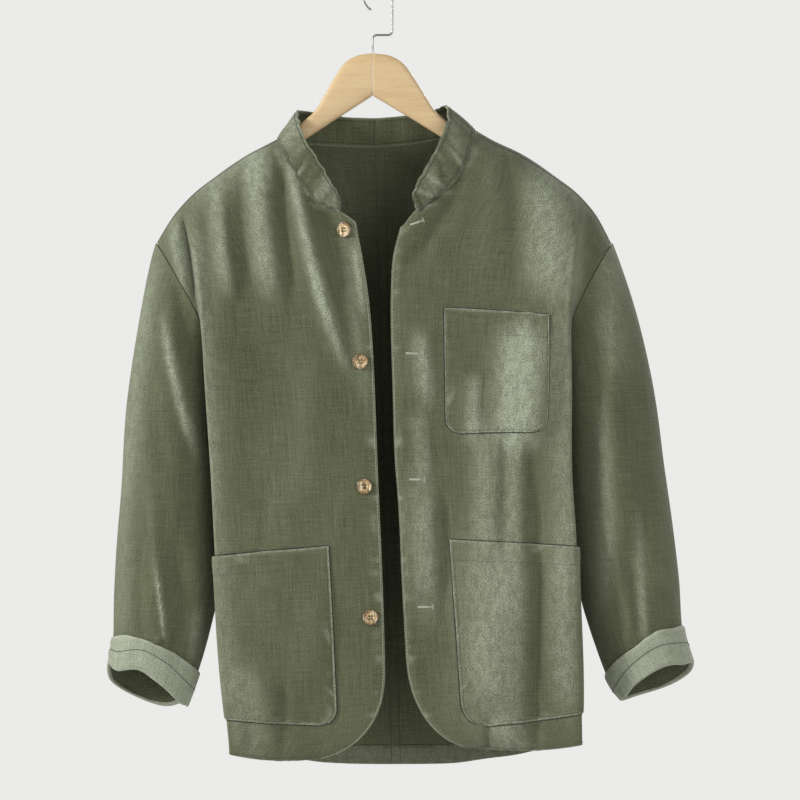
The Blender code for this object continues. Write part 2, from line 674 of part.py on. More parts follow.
def button_seat(button):
    """Where a button sits on the right front, and the directions across it, over it and out of the cloth."""
    s, t = panel_place(RIGHT, button.x, button.drop)
    here = panel(RIGHT, FRONT, s, t)
    by_t = panel(RIGHT, FRONT, s, t + PLACE_NUDGE) - here
    by_s = panel(RIGHT, FRONT, s + PLACE_NUDGE, t) - here
    up = np.cross(by_t, by_s)
    up = -up * np.sign(up[1]) / np.linalg.norm(up)
    across = np.cross(up, [0, 0, 1])
    across = across / np.linalg.norm(across)
    return here + up * (CLOTH / 2 + BUTTON_SEAT_GAP), across, np.cross(up, across), up


def make_buttons():
    turn = np.arange(BUTTON_STEPS)[:, None] * 2 * math.pi / BUTTON_STEPS
    profile = button_profile()
    last = 2 + (len(profile) - 1) * BUTTON_STEPS
    for number, button in enumerate(BUTTONS, start=1):
        seat, across, over, up = button_seat(button)
        points = [[seat, seat + up * profile[-1][1]]]
        for radius, height in profile:
            points.append(seat + up * height + (across * np.cos(turn) + over * np.sin(turn)) * radius)
        faces = grid_faces(len(profile), BUTTON_STEPS, 2, True)
        for step in range(BUTTON_STEPS):
            after = (step + 1) % BUTTON_STEPS
            faces.append((0, 2 + after, 2 + step))
            faces.append((1, last + step, last + after))
        solid(f"button_{number}", np.concatenate(points), faces, BUTTON_FINISH)


def hanger_rows(side):
    """One half of the hanger: its neck, then its arm under the shoulder seam."""
    stretch = HANGER_LEFT_STRETCH if side == LEFT else 1.0
    rows = [HANGER_NECK[0]]
    rows += [HangerRow(row.half * stretch, row.top_drop, row.low_drop) for row in HANGER_NECK[1:]]
    start = abs(COLLAR[side][COLLAR_SHOULDER_ROW].seam_x - HANGER_CENTRE_X)
    for step in range(HANGER_ARM_STATIONS):
        share = step / (HANGER_ARM_STATIONS - 1)
        half = start + (HANGER_REACH - start) * share
        x = HANGER_CENTRE_X + side * half
        top = float(shoulder_drop(side, abs(x - SHOULDER_CENTRE))) + CLOTH / 2 + HANGER_CLOTH_GAP
        top += HANGER_NECK_CLEARANCE * (1 - share) ** HANGER_CLEARANCE_POWER
        height = HANGER_ARM_HEIGHT[0] + (HANGER_ARM_HEIGHT[1] - HANGER_ARM_HEIGHT[0]) * share
        rows.append(HangerRow(half, top, top + height))
    return rows


def make_hanger():
    turn = np.arange(HANGER_SECTION_STEPS) * 2 * math.pi / HANGER_SECTION_STEPS
    power = 2 / HANGER_SECTION_POWER
    round_y = np.sign(np.cos(turn)) * np.abs(np.cos(turn)) ** power
    round_z = np.sign(np.sin(turn)) * np.abs(np.sin(turn)) ** power
    for side_name, side in SIDES.items():
        rows = hanger_rows(side)
        points = []
        for row in rows:
            middle = (row.top_drop + row.low_drop) / 2
            x = np.full_like(turn, HANGER_CENTRE_X + side * row.half)
            y = round_y * HANGER_THICKNESS / 2
            z = -middle + round_z * (row.low_drop - row.top_drop) / 2
            points.append(np.stack([x, y, z], axis=-1))
        faces = grid_faces(len(rows), HANGER_SECTION_STEPS, 0, True)
        first = list(range(HANGER_SECTION_STEPS))
        last = [(len(rows) - 1) * HANGER_SECTION_STEPS + step for step in first]
        faces += [tuple(reversed(first)), tuple(last)]
        solid(f"hanger_{side_name}", np.concatenate(points), faces, WOOD_FINISH)


def arc(centre_x, centre_z, radius, start, end, steps):
    """Points of an arc in the plane of the hanger, its angles in radians."""
    return [
        (centre_x + radius * math.cos(angle), 0.0, centre_z + radius * math.sin(angle))
        for angle in np.linspace(start, end, steps)
    ]


def hook_path():
    """The wire's middle line: up out of the wood, across, up again and over the rail."""
    loop = HOOK_INNER_RADIUS + WIRE_RADIUS
    bend = HOOK_BEND_RADIUS
    foot = -HANGER_NECK[0].top_drop + SEAM_GAP
    path = [(HANGER_CENTRE_X, 0.0, foot)]
    path += arc(HANGER_CENTRE_X + bend, -HOOK_OFFSET_DROP - bend, bend, math.pi, math.pi / 2, BEND_STEPS)
    path += arc(loop - bend, -HOOK_OFFSET_DROP + bend, bend, -math.pi / 2, 0, BEND_STEPS)
    path += arc(0.0, -HOOK_INNER_RADIUS, loop, 0, HOOK_END_ANGLE, HOOK_ARC_STEPS)
    return path


def make_hook():
    line = bpy.data.curves.new("hook", "CURVE")
    line.dimensions = "3D"
    line.bevel_depth = WIRE_RADIUS * MM
    line.bevel_resolution = 2
    line.use_fill_caps = True
    points = hook_path()
    spline = line.splines.new("POLY")
    spline.points.add(len(points) - 1)
    for point, place in zip(spline.points, points):
        point.co = (*(value * MM for value in place), 1)
    line.materials.append(material("hook", *WIRE_FINISH))
    bpy.context.collection.objects.link(bpy.data.objects.new("hook", line))


def main():
    for piece in list(bpy.data.objects):
        bpy.data.objects.remove(piece, do_unlink=True)
    make_panels()
    make_sleeves()
    make_collar()
    make_pockets()
    make_buttons()
    make_hanger()
    make_hook()


main()
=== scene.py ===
"""Looks of the shirt jacket on its hanger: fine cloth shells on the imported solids' forms, with creases,
stitching, buttonholes, turned buttons, wood and wire.

Lengths are in millimetres until a mesh is made, in metres. X runs across the front, +Y to the back and
+Z up; "drop" is the distance below the seat of the hook. Right and left are the wearer's.
"""

import math
from collections import namedtuple
from functools import partial, reduce

import bpy
import numpy as np
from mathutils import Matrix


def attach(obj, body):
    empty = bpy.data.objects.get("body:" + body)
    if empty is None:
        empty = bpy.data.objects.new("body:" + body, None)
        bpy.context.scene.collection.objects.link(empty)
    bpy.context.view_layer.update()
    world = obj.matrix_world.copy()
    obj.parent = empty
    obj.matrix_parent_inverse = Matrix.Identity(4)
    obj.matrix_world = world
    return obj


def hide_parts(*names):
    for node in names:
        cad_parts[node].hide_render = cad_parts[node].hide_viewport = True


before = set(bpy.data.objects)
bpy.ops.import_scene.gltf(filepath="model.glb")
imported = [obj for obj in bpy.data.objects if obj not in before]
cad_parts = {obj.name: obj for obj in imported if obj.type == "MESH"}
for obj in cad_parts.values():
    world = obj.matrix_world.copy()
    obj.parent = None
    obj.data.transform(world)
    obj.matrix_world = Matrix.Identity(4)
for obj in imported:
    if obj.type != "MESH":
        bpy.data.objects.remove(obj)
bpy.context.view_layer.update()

# Driving sizes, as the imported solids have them
MM = 0.001
CLOTH = 1.6
CUFF_CLOTH = 2.2
SEAM_GAP = 0.3
RIGHT, LEFT = -1, 1
FRONT, BACK = -1, 1
SIDES = {"right": RIGHT, "left": LEFT}
BODY_AXIS = (6.5, 0.0)

# The body hangs flat on the hanger with its sides turned back
FRONT_DEPTH = 60.0
BACK_DEPTH = 60.0
SIDE_SEAM_Y = 4.0
FRONT_EDGE_Y = -58.0
FOLD_AT = 0.78
FOLD_SOFTNESS = 0.05
FOLD_RIDGE = 3.0
FOLD_RIDGE_WIDTH = 0.022
NECK_SHARE = 0.13
ARMHOLE_SHARE = 0.24
SHOULDER_CENTRE = 6.5
SHOULDER_ROUND_SHARE = 0.25
SHOULDER_BOW_SHARE = 0.30
HEM_SAG = {(RIGHT, FRONT): 6.0, (LEFT, FRONT): 6.0, (RIGHT, BACK): 9.0, (LEFT, BACK): 13.0}
HEM_SAG_POWER = 6
FRONT_EDGE_HOLD = 0.4
FREE_EDGE_SHARE = 0.10
FREE_TOP_SHARE = 0.05
BACK_HEM_DROP = 899.0
CENTRE_BACK_X_HEM = 16.0

# How wide the body is at each height, as half widths either side of its leaning centre line
BodyRow = namedtuple("BodyRow", "drop centre front_half seam_half back_half")
BODY = [
    BodyRow(246, 6.5, 227.0, 227, 227),
    BodyRow(271, 7.0, 226.0, 224, 224),
    BodyRow(304, 7.0, 219.0, 217, 217),
    BodyRow(340, 7.5, 214.5, 209, 208),
    BodyRow(378, 8.5, 212.0, 202, 200),
    BodyRow(440, 11.0, 211.5, 192, 188),
    BodyRow(565, 15.5, 207.5, 189, 182),
    BodyRow(634, 19.5, 208.0, 189, 180),
    BodyRow(705, 22.5, 207.0, 188, 179),
    BodyRow(797, 27.5, 205.5, 187, 177),
    BodyRow(895, 33.0, 201.0, 184, 174),
]

# The line of each shoulder seam over the hanger, out to the dropped tip
ShoulderRow = namedtuple("ShoulderRow", "drop right_half left_half")
SHOULDER = [
    ShoulderRow(165, 100.0, 100),
    ShoulderRow(178, 122.0, 122),
    ShoulderRow(197, 158.0, 161),
    ShoulderRow(220, 191.5, 195),
    ShoulderRow(246, 223.5, 227),
    ShoulderRow(267, 241.5, 244),
    ShoulderRow(297, 260.0, 260),
]

# The armhole seam from the shoulder tip down to the underarm
ArmholeRow = namedtuple("ArmholeRow", "half front_y back_y drop")
ARMHOLE = [
    ArmholeRow(260, 0, 0, 297),
    ArmholeRow(255, -24, 24, 304),
    ArmholeRow(247, -38, 38, 317),
    ArmholeRow(236, -45, 45, 336),
    ArmholeRow(217, -47, 47, 371),
    ArmholeRow(200, -30, 34, 414),
    ArmholeRow(192, SIDE_SEAM_Y, SIDE_SEAM_Y, 440),
]

# The stand collar, from the centre back round to its front tip: the seam below and the free edge above
CollarRow = namedtuple("CollarRow", "seam_x seam_y seam_drop top_x top_y top_drop")
COLLAR = {
    RIGHT: [
        CollarRow(-3, 62, 182, -3, 54, 150),
        CollarRow(-48, 58, 181, -40, 50, 149),
        CollarRow(-88, 43, 179, -69, 36, 146),
        CollarRow(-109, 20, 178, -87, 17, 144),
        CollarRow(-115, 0, 178, -92, 0, 146),
        CollarRow(-113, -18, 184, -90, -17, 160),
        CollarRow(-105, -33, 201, -83, -31, 179),
        CollarRow(-93, -43, 220, -73, -39, 196),
        CollarRow(-80, -49, 238, -62, -44, 213),
        CollarRow(-65, -53, 254, -50, -48, 233),
        CollarRow(-43, -55, 262, -41, -51, 251),
    ],
    LEFT: [
        CollarRow(-3, 62, 182, -3, 54, 150),
        CollarRow(42, 58, 178, 34, 50, 147),
        CollarRow(82, 43, 172, 62, 36, 142),
        CollarRow(104, 20, 167, 76, 17, 139),
        CollarRow(109.5, 0, 167, 78, 0, 140),
        CollarRow(107, -19, 179, 80, -18, 153),
        CollarRow(99, -34, 205, 74, -32, 174),
        CollarRow(90, -42, 222, 64, -40, 195),
        CollarRow(77.5, -48, 236, 51, -46, 217),
        CollarRow(62, -52, 248, 41, -49, 238),
        CollarRow(43, -55, 261, 38.5, -51, 250),
    ],
}
COLLAR_SHOULDER_ROW = 4
COLLAR_LIFT = -1.5
COLLAR_TIP_SHARE = 0.055
COLLAR_TIP_HEIGHT = 0.42
COLLAR_CLOTH = 2.4
COLLAR_RUN = 240.0
COLLAR_RISE = 30.0
COLLAR_AXIS = (-3.0, 4.0)
COLLAR_SWELL = 1.6
COLLAR_CRINKLE_START = 0.25
COLLAR_TOP_SHIFT = 300.0
COLLAR_JOIN_SHARE = 0.125

# The free front edges
EdgeRow = namedtuple("EdgeRow", "drop right_x left_x")
FRONT_EDGE = [
    EdgeRow(275, -25.0, 27.0),
    EdgeRow(313, -18.0, 17.5),
    EdgeRow(353, -11.5, 15.0),
    EdgeRow(416, -6.0, 15.4),
    EdgeRow(466, -3.5, 17.0),
    EdgeRow(536, -1.0, 19.0),
    EdgeRow(606, 2.0, 24.0),
    EdgeRow(676, 5.0, 27.0),
    EdgeRow(782, 8.0, 33.0),
    EdgeRow(895, 8.0, 42.0),
]
NECK_POINT = {RIGHT: (-25.0, -57.0, 275.0), LEFT: (27.0, -57.0, 281.0)}

# The rounded front hem corners
HemCorner = namedtuple("HemCorner", "start_drop hem_drop width power")
HEM_CORNER = {RIGHT: HemCorner(782, 885, 100, 2.3), LEFT: HemCorner(770, 872, 78, 2.2)}
FRONT_HEM_SIDE_DROP = {RIGHT: 872.0, LEFT: 860.0}
BACK_HEM_SIDE_DROP = {RIGHT: 872.0, LEFT: 858.0}

# The sleeves, as rings from the armhole down to the rim of the turned-up cuff
SleeveRow = namedtuple("SleeveRow", "outer_x outer_drop inner_x inner_drop half_depth mid_y front_lift")
SLEEVE = {
    RIGHT: [
        SleeveRow(-258, 306, -184, 446, 48, 2, 0),
        SleeveRow(-272, 356, -187, 480, 58, 6, 0),
        SleeveRow(-283, 432, -188, 522, 62, 8, 0),
        SleeveRow(-290, 503, -187, 585, 60, 8, 0),
        SleeveRow(-294, 577, -186, 642, 57, 6, 2),
        SleeveRow(-299, 640, -184, 693, 52, 2, 6),
        SleeveRow(-302, 701, -195, 746, 48, -2, 13),
        SleeveRow(-303, 756, -208, 789, 45, -4, 20),
        SleeveRow(-308, 793, -221, 826, 45, -6, 18),
    ],
    LEFT: [
        SleeveRow(271, 303, 206, 446, 48, 2, 0),
        SleeveRow(289, 350, 210, 480, 58, 6, 0),
        SleeveRow(305, 405, 214, 522, 62, 8, 0),
        SleeveRow(319, 485, 218, 585, 60, 8, 0),
        SleeveRow(327, 548, 222, 642, 57, 6, 2),
        SleeveRow(336, 613, 227, 675, 52, 2, 5),
        SleeveRow(344, 682, 238, 722, 48, -2, 10),
        SleeveRow(348, 742, 263, 792, 44, -4, 19),
        SleeveRow(360, 784, 281, 820, 44, -6, 15),
    ],
}
RimWave = namedtuple("RimWave", "turn half_width drop")
RIM_WAVES = {
    RIGHT: [
        RimWave(18, 10, -6),
        RimWave(45, 14, 3),
        RimWave(82, 16, -4),
        RimWave(150, 34, 11),
        RimWave(-150, 28, -9),
    ],
    LEFT: [
        RimWave(45, 18, 2.5),
        RimWave(90, 30, -3.5),
        RimWave(160, 18, 6),
        RimWave(-125, 50, -6),
    ],
}
RIM_WAVE_START = 0.80
RIM_BLUNTNESS = 0.65
SLEEVE_CAP_SHARE = 0.36
SLEEVE_START_GAP = 1.2
CUFF_START = 0.875
SLEEVE_END = 0.985
SLEEVE_FREE_SHARE = 0.12
# How strongly the pale nap and painted highlights show round the back of a sleeve
SLEEVE_BACK_NAP_AND_HIGHLIGHT = 0.5

# The cuff in section, as shares down the sleeve and heights off its surface
CUFF_CALM = 0.6
CUFF_CALM_SHARE = 0.04
CUFF_MIDDLE = 0.7
CUFF_ROLL = 2.2
CUFF_FLARE = 0.8
CUFF_RIM_SHARE = 0.010
# The cuff's pale inner layer stops just inside the rim, so the sleeve's olive inner face shows in the
# mouth, darker than the cloth's pale inner face: painted shade
CUFF_INSIDE_START = 0.979
CUFF_TURN_SHARE = 0.003
CUFF_TURN_SINKS = (0.6, 1.6)
CUFF_FOLD_SHARE = 0.004
CUFF_FOLD_STANDS = (1.2, -1.0)
CUFF_LINING = 1.0
CUFF_GIRTH = 260.0
CUFF_FADE = 0.35
CUFF_EDGE_SHARE = 0.006
CUFF_NUDGE = 1e-3

# The patch pockets, laid on the fronts; an outer edge of None runs into the side seam
PocketRow = namedtuple(
    "PocketRow",
    "side inner_top inner_low outer_top outer_low drop_in drop_out low_in low_out corner puff hem",
)
POCKETS = {
    "chest_pocket": PocketRow(LEFT, 75, 77, 194, 191, 372, 380, 514, 512, 17, 1.2, 29),
    "pocket_right": PocketRow(RIGHT, -56, -46, None, None, 642, 648, 845, 838, 20, 2.4, 24),
    "pocket_left": PocketRow(LEFT, 82, 96, None, None, 635, 636, 846, 828, 26, 2.4, 23),
}
POCKET_SEAM_SHARE = 0.985
POCKET_SIDE_PLACE = 0.9
POCKET_CORNER_SHARE = 0.16
POCKET_WIDTH = 150.0
POCKET_MOUTH_PUFF = 2.0
POCKET_MOUTH_REACH = 25.0
POCKET_PUCKER = 0.7
POCKET_PUCKER_START = 3.0
Groove = namedtuple("Groove", "inset half_width depth")
POCKET_EDGE_GROOVE = Groove(2.4, 0.9, 0.45)
POCKET_HEM_GROOVE = Groove(0.0, 1.2, 0.35)
POCKET_WEAVE_SHIFT = (40.0, 7.0)
POCKET_EDGE_WEAR = 1.4
POCKET_EDGE_REACH = 2.3

# Where the search for a place on a front starts, and how it goes on
PLACE_START = (0.4, 0.5)
PLACE_STEPS = 12
PLACE_NUDGE = 1e-4

# The buttons down the right front and the buttonholes down the left
ButtonRow = namedtuple("ButtonRow", "x drop")
BUTTONS = [ButtonRow(-37, 283), ButtonRow(-20, 433), ButtonRow(-15.5, 574.5), ButtonRow(-8.5, 723)]
BUTTON_RADIUS = 9.0
BUTTON_HEIGHT = 3.2
BUTTON_DISH = 0.9
BUTTON_SEAT_GAP = 0.6
BUTTON_HOLE_RADIUS = 1.0
BUTTON_HOLE_OFFSET = 1.6
BUTTON_HOLE_DEPTH = 1.5
BUTTON_HOLE_SOFTNESS = 0.4
# Where the painted shade round a button's rim begins and how wide it grows
BUTTON_RIM_SHADE_START, BUTTON_RIM_SHADE_WIDTH = 5.6, 3.0
BUTTON_THREAD_STAND = 0.25
BUTTON_THREAD_APART = 0.2
BUTTON_THREAD_OVERHANG = 1.0
BUTTON_THREAD_RADIUS = 0.2

# A turned button in section, from its foot round its rim to the edge of its dish
ButtonPoint = namedtuple("ButtonPoint", "inset height")
BUTTON_SECTION = [
    ButtonPoint(8.7, 0.0),
    ButtonPoint(2.4, 0.0),
    ButtonPoint(1.0, 0.35),
    ButtonPoint(0.15, 1.1),
    ButtonPoint(0.0, 1.7),
    ButtonPoint(0.2, 2.5),
    ButtonPoint(0.7, 3.05),
    ButtonPoint(1.2, BUTTON_HEIGHT),
    ButtonPoint(1.8, 3.0),
    ButtonPoint(2.4, BUTTON_HEIGHT - BUTTON_DISH + 0.25),
    ButtonPoint(3.2, BUTTON_HEIGHT - BUTTON_DISH),
]
BUTTON_MIDDLE_RADIUS = 0.05
BUTTON_STEPS = 112
BUTTON_SECTION_ROWS, BUTTON_DISH_ROWS, BUTTON_TOP_ROW = 46, 40, 30
HoleRow = namedtuple("HoleRow", "x drop end_x end_drop")
BUTTONHOLES = [
    HoleRow(37, 278, 52, 272.5),
    HoleRow(32, 423.5, 52, 424),
    HoleRow(36, 566.5, 54, 566.5),
    HoleRow(45.5, 711, 63, 711),
]
# The inner bars of each buttonhole are paler, a painted highlight; the slit is a dark bar, painted shade
HOLE_BARS, HOLE_HIGHLIT_BARS, HOLE_END_BARS = 34, 22, 3
HOLE_STAND = 0.15
HOLE_ROW_PLACE = 0.55
HOLE_BAR_LENGTH = 1.1
HOLE_END_LENGTH = 6.5
HOLE_SLIT_SHORTER = 1.6
HOLE_SLIT_SINK = 0.1
HOLE_RADII = {"buttonhole_highlit_thread": 0.36, "buttonhole_ends": 0.34, "buttonhole_slit_shadows": 0.3}

# The hanger, a wishbone of two halves, and its wire hook
HangerRow = namedtuple("HangerRow", "half top_drop low_drop")
HANGER_NECK = [
    HangerRow(SEAM_GAP / 2, 78.7, 127.6),
    HangerRow(20, 82.5, 140.5),
    HangerRow(33, 91.0, 149.0),
    HangerRow(44, 107.0, 156.0),
    HangerRow(56, 128.0, 164.0),
    HangerRow(65, 143.0, 170.0),
    HangerRow(80, 157.0, 180.0),
]
HANGER_CENTRE_X = -6.3
HANGER_LEFT_STRETCH = 1.08
HANGER_REACH = 205.0
HANGER_ARM_STATIONS = 6
HANGER_ARM_HEIGHT = (23.0, 15.0)
HANGER_THICKNESS = 12.0
HANGER_SECTION_POWER = 3.0
HANGER_CLOTH_GAP = 0.8
HANGER_NECK_CLEARANCE = 2.0
HANGER_CLEARANCE_POWER = 4
HANGER_STEPS, HANGER_STATIONS = 56, 130
HANGER_STATION_POWER = 1.2
HANGER_JOINT_INSETS = (0.955, 0.985, 1.0)
HANGER_END_ROUND = 8.0
HANGER_END_INSET = 0.05
WIRE_RADIUS = 1.2
HOOK_INNER_RADIUS = 15.0
HOOK_OFFSET_DROP = 58.0
HOOK_BEND_RADIUS = 5.0
HOOK_END_ANGLE = math.radians(238)
HOOK_FOOT_ROUND = 0.2
HOOK_STEPS, HOOK_BEND_STEPS, HOOK_LOOP_STEPS = 20, 14, 72

# Creases laid one by one from one point to another: soft ridges, or troughs where the height is below
# nought.
# A lean above nought makes the +X flank the wider one, and a bow bends the line towards +X.
Crease = namedtuple("Crease", "x drop end_x end_drop half_width height lean bow")
FRONT_CREASES = [
    Crease(-94, 224, -43, 416, 9, 6.5, -0.2, -3),
    Crease(-60, 238, -32, 352, 18, -8.0, 0.0, -3),
    Crease(-107, 204, -97, 352, 7, -4.5, 0.0, -3),
    Crease(-131, 194, -115, 356, 13, 6.0, -0.3, -3),
    Crease(-154, 216, -146, 340, 9, -5.0, 0.0, -2),
    Crease(-178, 246, -165, 352, 9, 5.0, -0.3, -2),
    Crease(-197, 262, -186, 378, 8, -3.5, 0.0, 0),
    Crease(-222, 258, -208, 362, 5, -8.0, 0.0, 0),
    Crease(-235, 286, -222, 352, 6, 5.0, 0.0, 0),
    Crease(-122, 198, -120, 236, 4, 2.0, 0.0, 0),
    Crease(-128, 560, -130, 650, 12, -3.0, 0.0, 2),
    Crease(-80, 430, -92, 600, 26, 2.6, 0.2, 4),
    Crease(-170, 420, -166, 600, 20, 2.2, -0.2, 3),
    Crease(-106, 800, -108, 880, 8, -3.0, 0.0, 0),
    Crease(-140, 780, -128, 845, 13, 3.0, 0.2, 2),
    Crease(-155, 830, -158, 872, 8, 2.2, 0.0, 0),
    Crease(-72, 690, -84, 800, 22, 2.2, 0.0, 4),
    Crease(-160, 665, -128, 770, 18, -2.2, 0.0, -4),
    Crease(90, 232, 38, 320, 12, -4.5, 0.2, 5),
    Crease(217, 215, 221, 352, 34, 11.0, -0.6, 0),
    Crease(156, 215, 158, 345, 11, -2.5, 0.0, 0),
    Crease(147, 186, 149, 210, 4, -2.4, 0.0, 0),
    Crease(128, 190, 118, 330, 16, 2.8, 0.0, 3),
    Crease(186, 400, 176, 522, 34, 10.0, -0.5, 0),
    Crease(116, 450, 114, 520, 13, 3.2, -0.3, 0),
    Crease(122, 448, 119, 516, 6, -2.2, 0.0, -2),
    Crease(171, 380, 175, 412, 6, 2.2, 0.0, 0),
    Crease(132, 516, 131, 640, 15, 4.5, -0.5, 0),
    Crease(161, 516, 161, 640, 12, 4.0, -0.5, 0),
    Crease(178, 560, 178, 806, 10, -4.5, 0.0, 2),
    Crease(221, 330, 222, 830, 24, 4.5, -0.6, 0),
    Crease(60, 580, 62, 690, 20, 3.4, -0.5, 0),
    Crease(76, 586, 77, 724, 7, -2.8, 0.0, 0),
    Crease(53, 400, 58, 470, 14, 2.6, -0.4, 0),
    Crease(55, 500, 58, 560, 12, 2.2, -0.4, 0),
    Crease(160, 650, 158, 812, 34, 7.5, -0.6, 0),
    Crease(124, 742, 136, 800, 16, 2.4, -0.3, 0),
    Crease(125, 842, 126, 876, 5, -3.4, 0.0, 0),
    Crease(146, 842, 148, 872, 10, 2.6, 0.0, 0),
    Crease(179, 818, 180, 872, 8, -4.0, 0.0, 0),
]
BACK_CREASES = [
    Crease(-40, 200, -52, 420, 18, 4.0, 0.2, 4),
    Crease(-70, 205, -84, 360, 11, -3.5, 0.0, 3),
    Crease(-110, 215, -120, 470, 16, 4.5, -0.2, -4),
    Crease(-150, 235, -146, 380, 10, -3.4, 0.0, 2),
    Crease(-176, 270, -170, 430, 12, 3.6, 0.2, 3),
    Crease(36, 200, 50, 400, 15, 3.8, -0.2, -3),
    Crease(66, 210, 82, 480, 12, -4.0, 0.0, 3),
    Crease(112, 210, 118, 390, 18, 4.6, 0.1, 4),
    Crease(150, 240, 142, 520, 11, -3.6, 0.0, -3),
    Crease(186, 270, 180, 440, 13, 4.0, 0.2, -2),
    Crease(-130, 520, -118, 860, 24, 4.4, 0.3, 6),
    Crease(-88, 560, -80, 880, 14, -3.6, 0.0, -4),
    Crease(-40, 480, -46, 830, 20, 3.0, -0.2, 4),
    Crease(58, 500, 66, 880, 22, 3.8, 0.2, -5),
    Crease(104, 540, 96, 860, 13, -3.8, 0.0, 4),
    Crease(146, 470, 158, 850, 24, 4.4, -0.3, 5),
    Crease(-160, 640, -166, 870, 12, -3.0, 0.0, 2),
    Crease(190, 620, 186, 860, 12, -3.0, 0.0, 2),
]
SLEEVE_FRONT_CREASES = [
    Crease(-230, 332, -203, 505, 12, -6.5, 0.2, 2),
    Crease(-240, 400, -208, 530, 7, 5.0, 0.4, -2),
    Crease(-258, 450, -240, 560, 10, -3.5, 0.0, -3),
    Crease(-258, 340, -272, 480, 12, 3.0, 0.0, -4),
    Crease(-258, 560, -248, 690, 8, 3.5, 0.0, -3),
    Crease(-251, 668, -241.5, 746, 3, 4.6, 0.2, 0),
    Crease(-241, 744, -253, 750, 3, 2.8, 0.0, 0),
    Crease(-229, 640, -230, 766, 9, -6.0, 0.0, 0),
    Crease(-271, 650, -268, 752, 7, -3.5, 0.0, 0),
    Crease(-206, 650, -211, 770, 8, 3.6, 0.0, 2),
    Crease(-284, 480, -288, 640, 9, 2.0, 0.0, 2),
    Crease(262, 330, 268, 470, 10, 3.4, 0.2, 3),
    Crease(238, 380, 240, 600, 14, -4.5, 0.0, 3),
    Crease(258, 470, 262, 700, 14, 3.6, -0.2, 4),
    Crease(290, 420, 300, 640, 12, -3.4, 0.0, 3),
    Crease(308, 520, 322, 700, 11, 3.0, 0.2, 2),
    Crease(284, 640, 298, 738, 8, -4.0, 0.0, -2),
    Crease(300, 690, 306, 744, 4, 3.4, 0.2, 0),
    Crease(272, 660, 284, 752, 7, 3.4, 0.0, 3),
    Crease(322, 690, 330, 740, 6, -2.6, 0.0, 0),
]
SLEEVE_BACK_CREASES = [
    Crease(-232, 350, -222, 560, 13, -5.0, 0.0, 4),
    Crease(-262, 380, -270, 620, 14, 3.6, 0.2, -4),
    Crease(-240, 580, -236, 760, 10, -4.6, 0.0, 2),
    Crease(-214, 560, -220, 770, 9, 3.4, 0.0, 2),
    Crease(-280, 600, -276, 750, 8, -3.0, 0.0, 0),
    Crease(-256, 690, -258, 752, 5, 3.2, 0.2, 0),
    Crease(250, 360, 252, 580, 13, -5.0, 0.0, 3),
    Crease(284, 380, 296, 620, 14, 3.6, -0.2, 4),
    Crease(266, 580, 280, 750, 10, -4.6, 0.0, 2),
    Crease(246, 560, 258, 760, 9, 3.2, 0.0, 2),
    Crease(312, 600, 322, 740, 8, -3.0, 0.0, 0),
    Crease(298, 690, 304, 744, 5, 3.2, 0.2, 0),
]
CREASE_FADE = 0.45
CREASE_DEPTH = 1.2
SLEEVE_CREASE_DEPTH = 0.9

# Where a pale washed nap lies, with painted highlights on the lit folds, laid like the creases; here the
# height is how much it shows
FRONT_NAP_AND_HIGHLIGHTS = [
    Crease(-104, 190, -60, 372, 6, 0.85, 0.0, -3),
    Crease(-74, 330, -36, 440, 6, 0.6, 0.0, -2),
    Crease(-143, 180, -128, 345, 13, 0.75, 0.0, -3),
    Crease(-186, 226, -174, 345, 8, 0.65, 0.0, -2),
    Crease(-214, 232, -136, 182, 30, 0.8, 0.0, 0),
    Crease(-236, 262, -214, 330, 15, 0.45, 0.0, 0),
    Crease(-207, 270, -187, 640, 11, 0.7, 0.2, 0),
    Crease(-230, 280, -216, 356, 7, 0.6, 0.0, 0),
    Crease(-178, 640, -168, 830, 14, 0.45, 0.0, 0),
    Crease(-154, 780, -140, 880, 19, 0.5, 0.0, 0),
    Crease(-36, 300, -14, 480, 8, 0.4, 0.0, 0),
    Crease(-27, 296, -17, 376, 4, 0.9, 0.0, 0),
    Crease(162, 394, 154, 524, 21, 1.45, 0.0, 0),
    Crease(110, 455, 106, 520, 9, 0.7, 0.0, 0),
    Crease(190, 200, 194, 352, 24, 0.65, 0.0, 0),
    Crease(118, 628, 126, 850, 34, 0.6, 0.0, 0),
    Crease(150, 640, 148, 720, 16, 0.3, 0.0, 0),
    Crease(204, 640, 212, 822, 15, 0.65, 0.0, 0),
    Crease(118, 508, 118, 645, 14, 0.5, 0.0, 0),
    Crease(150, 508, 150, 645, 11, 0.55, 0.0, 0),
    Crease(46, 404, 56, 480, 10, 0.8, 0.0, 0),
    Crease(44, 490, 52, 566, 10, 0.5, 0.0, 0),
    Crease(46, 560, 54, 720, 16, 0.55, 0.0, 0),
    Crease(140, 830, 160, 880, 18, 0.6, 0.0, 0),
    Crease(206, 360, 212, 660, 14, 0.45, 0.0, 0),
]
SLEEVE_NAP_AND_HIGHLIGHTS = [
    Crease(-258, 300, -285, 560, 17, 0.6, 0.0, -4),
    Crease(-288, 540, -294, 750, 13, 0.4, 0.0, 0),
    Crease(-243, 392, -211, 530, 6, 0.9, 0.0, -2),
    Crease(-250, 676, -242, 746, 2.4, 0.9, 0.0, 0),
    Crease(-206, 715, -212, 770, 6, 0.6, 0.0, 0),
    Crease(256, 300, 270, 440, 18, 0.5, 0.0, 0),
    Crease(252, 470, 258, 700, 10, 0.4, 0.0, 4),
    Crease(296, 620, 302, 742, 6, 0.6, 0.0, 0),
]
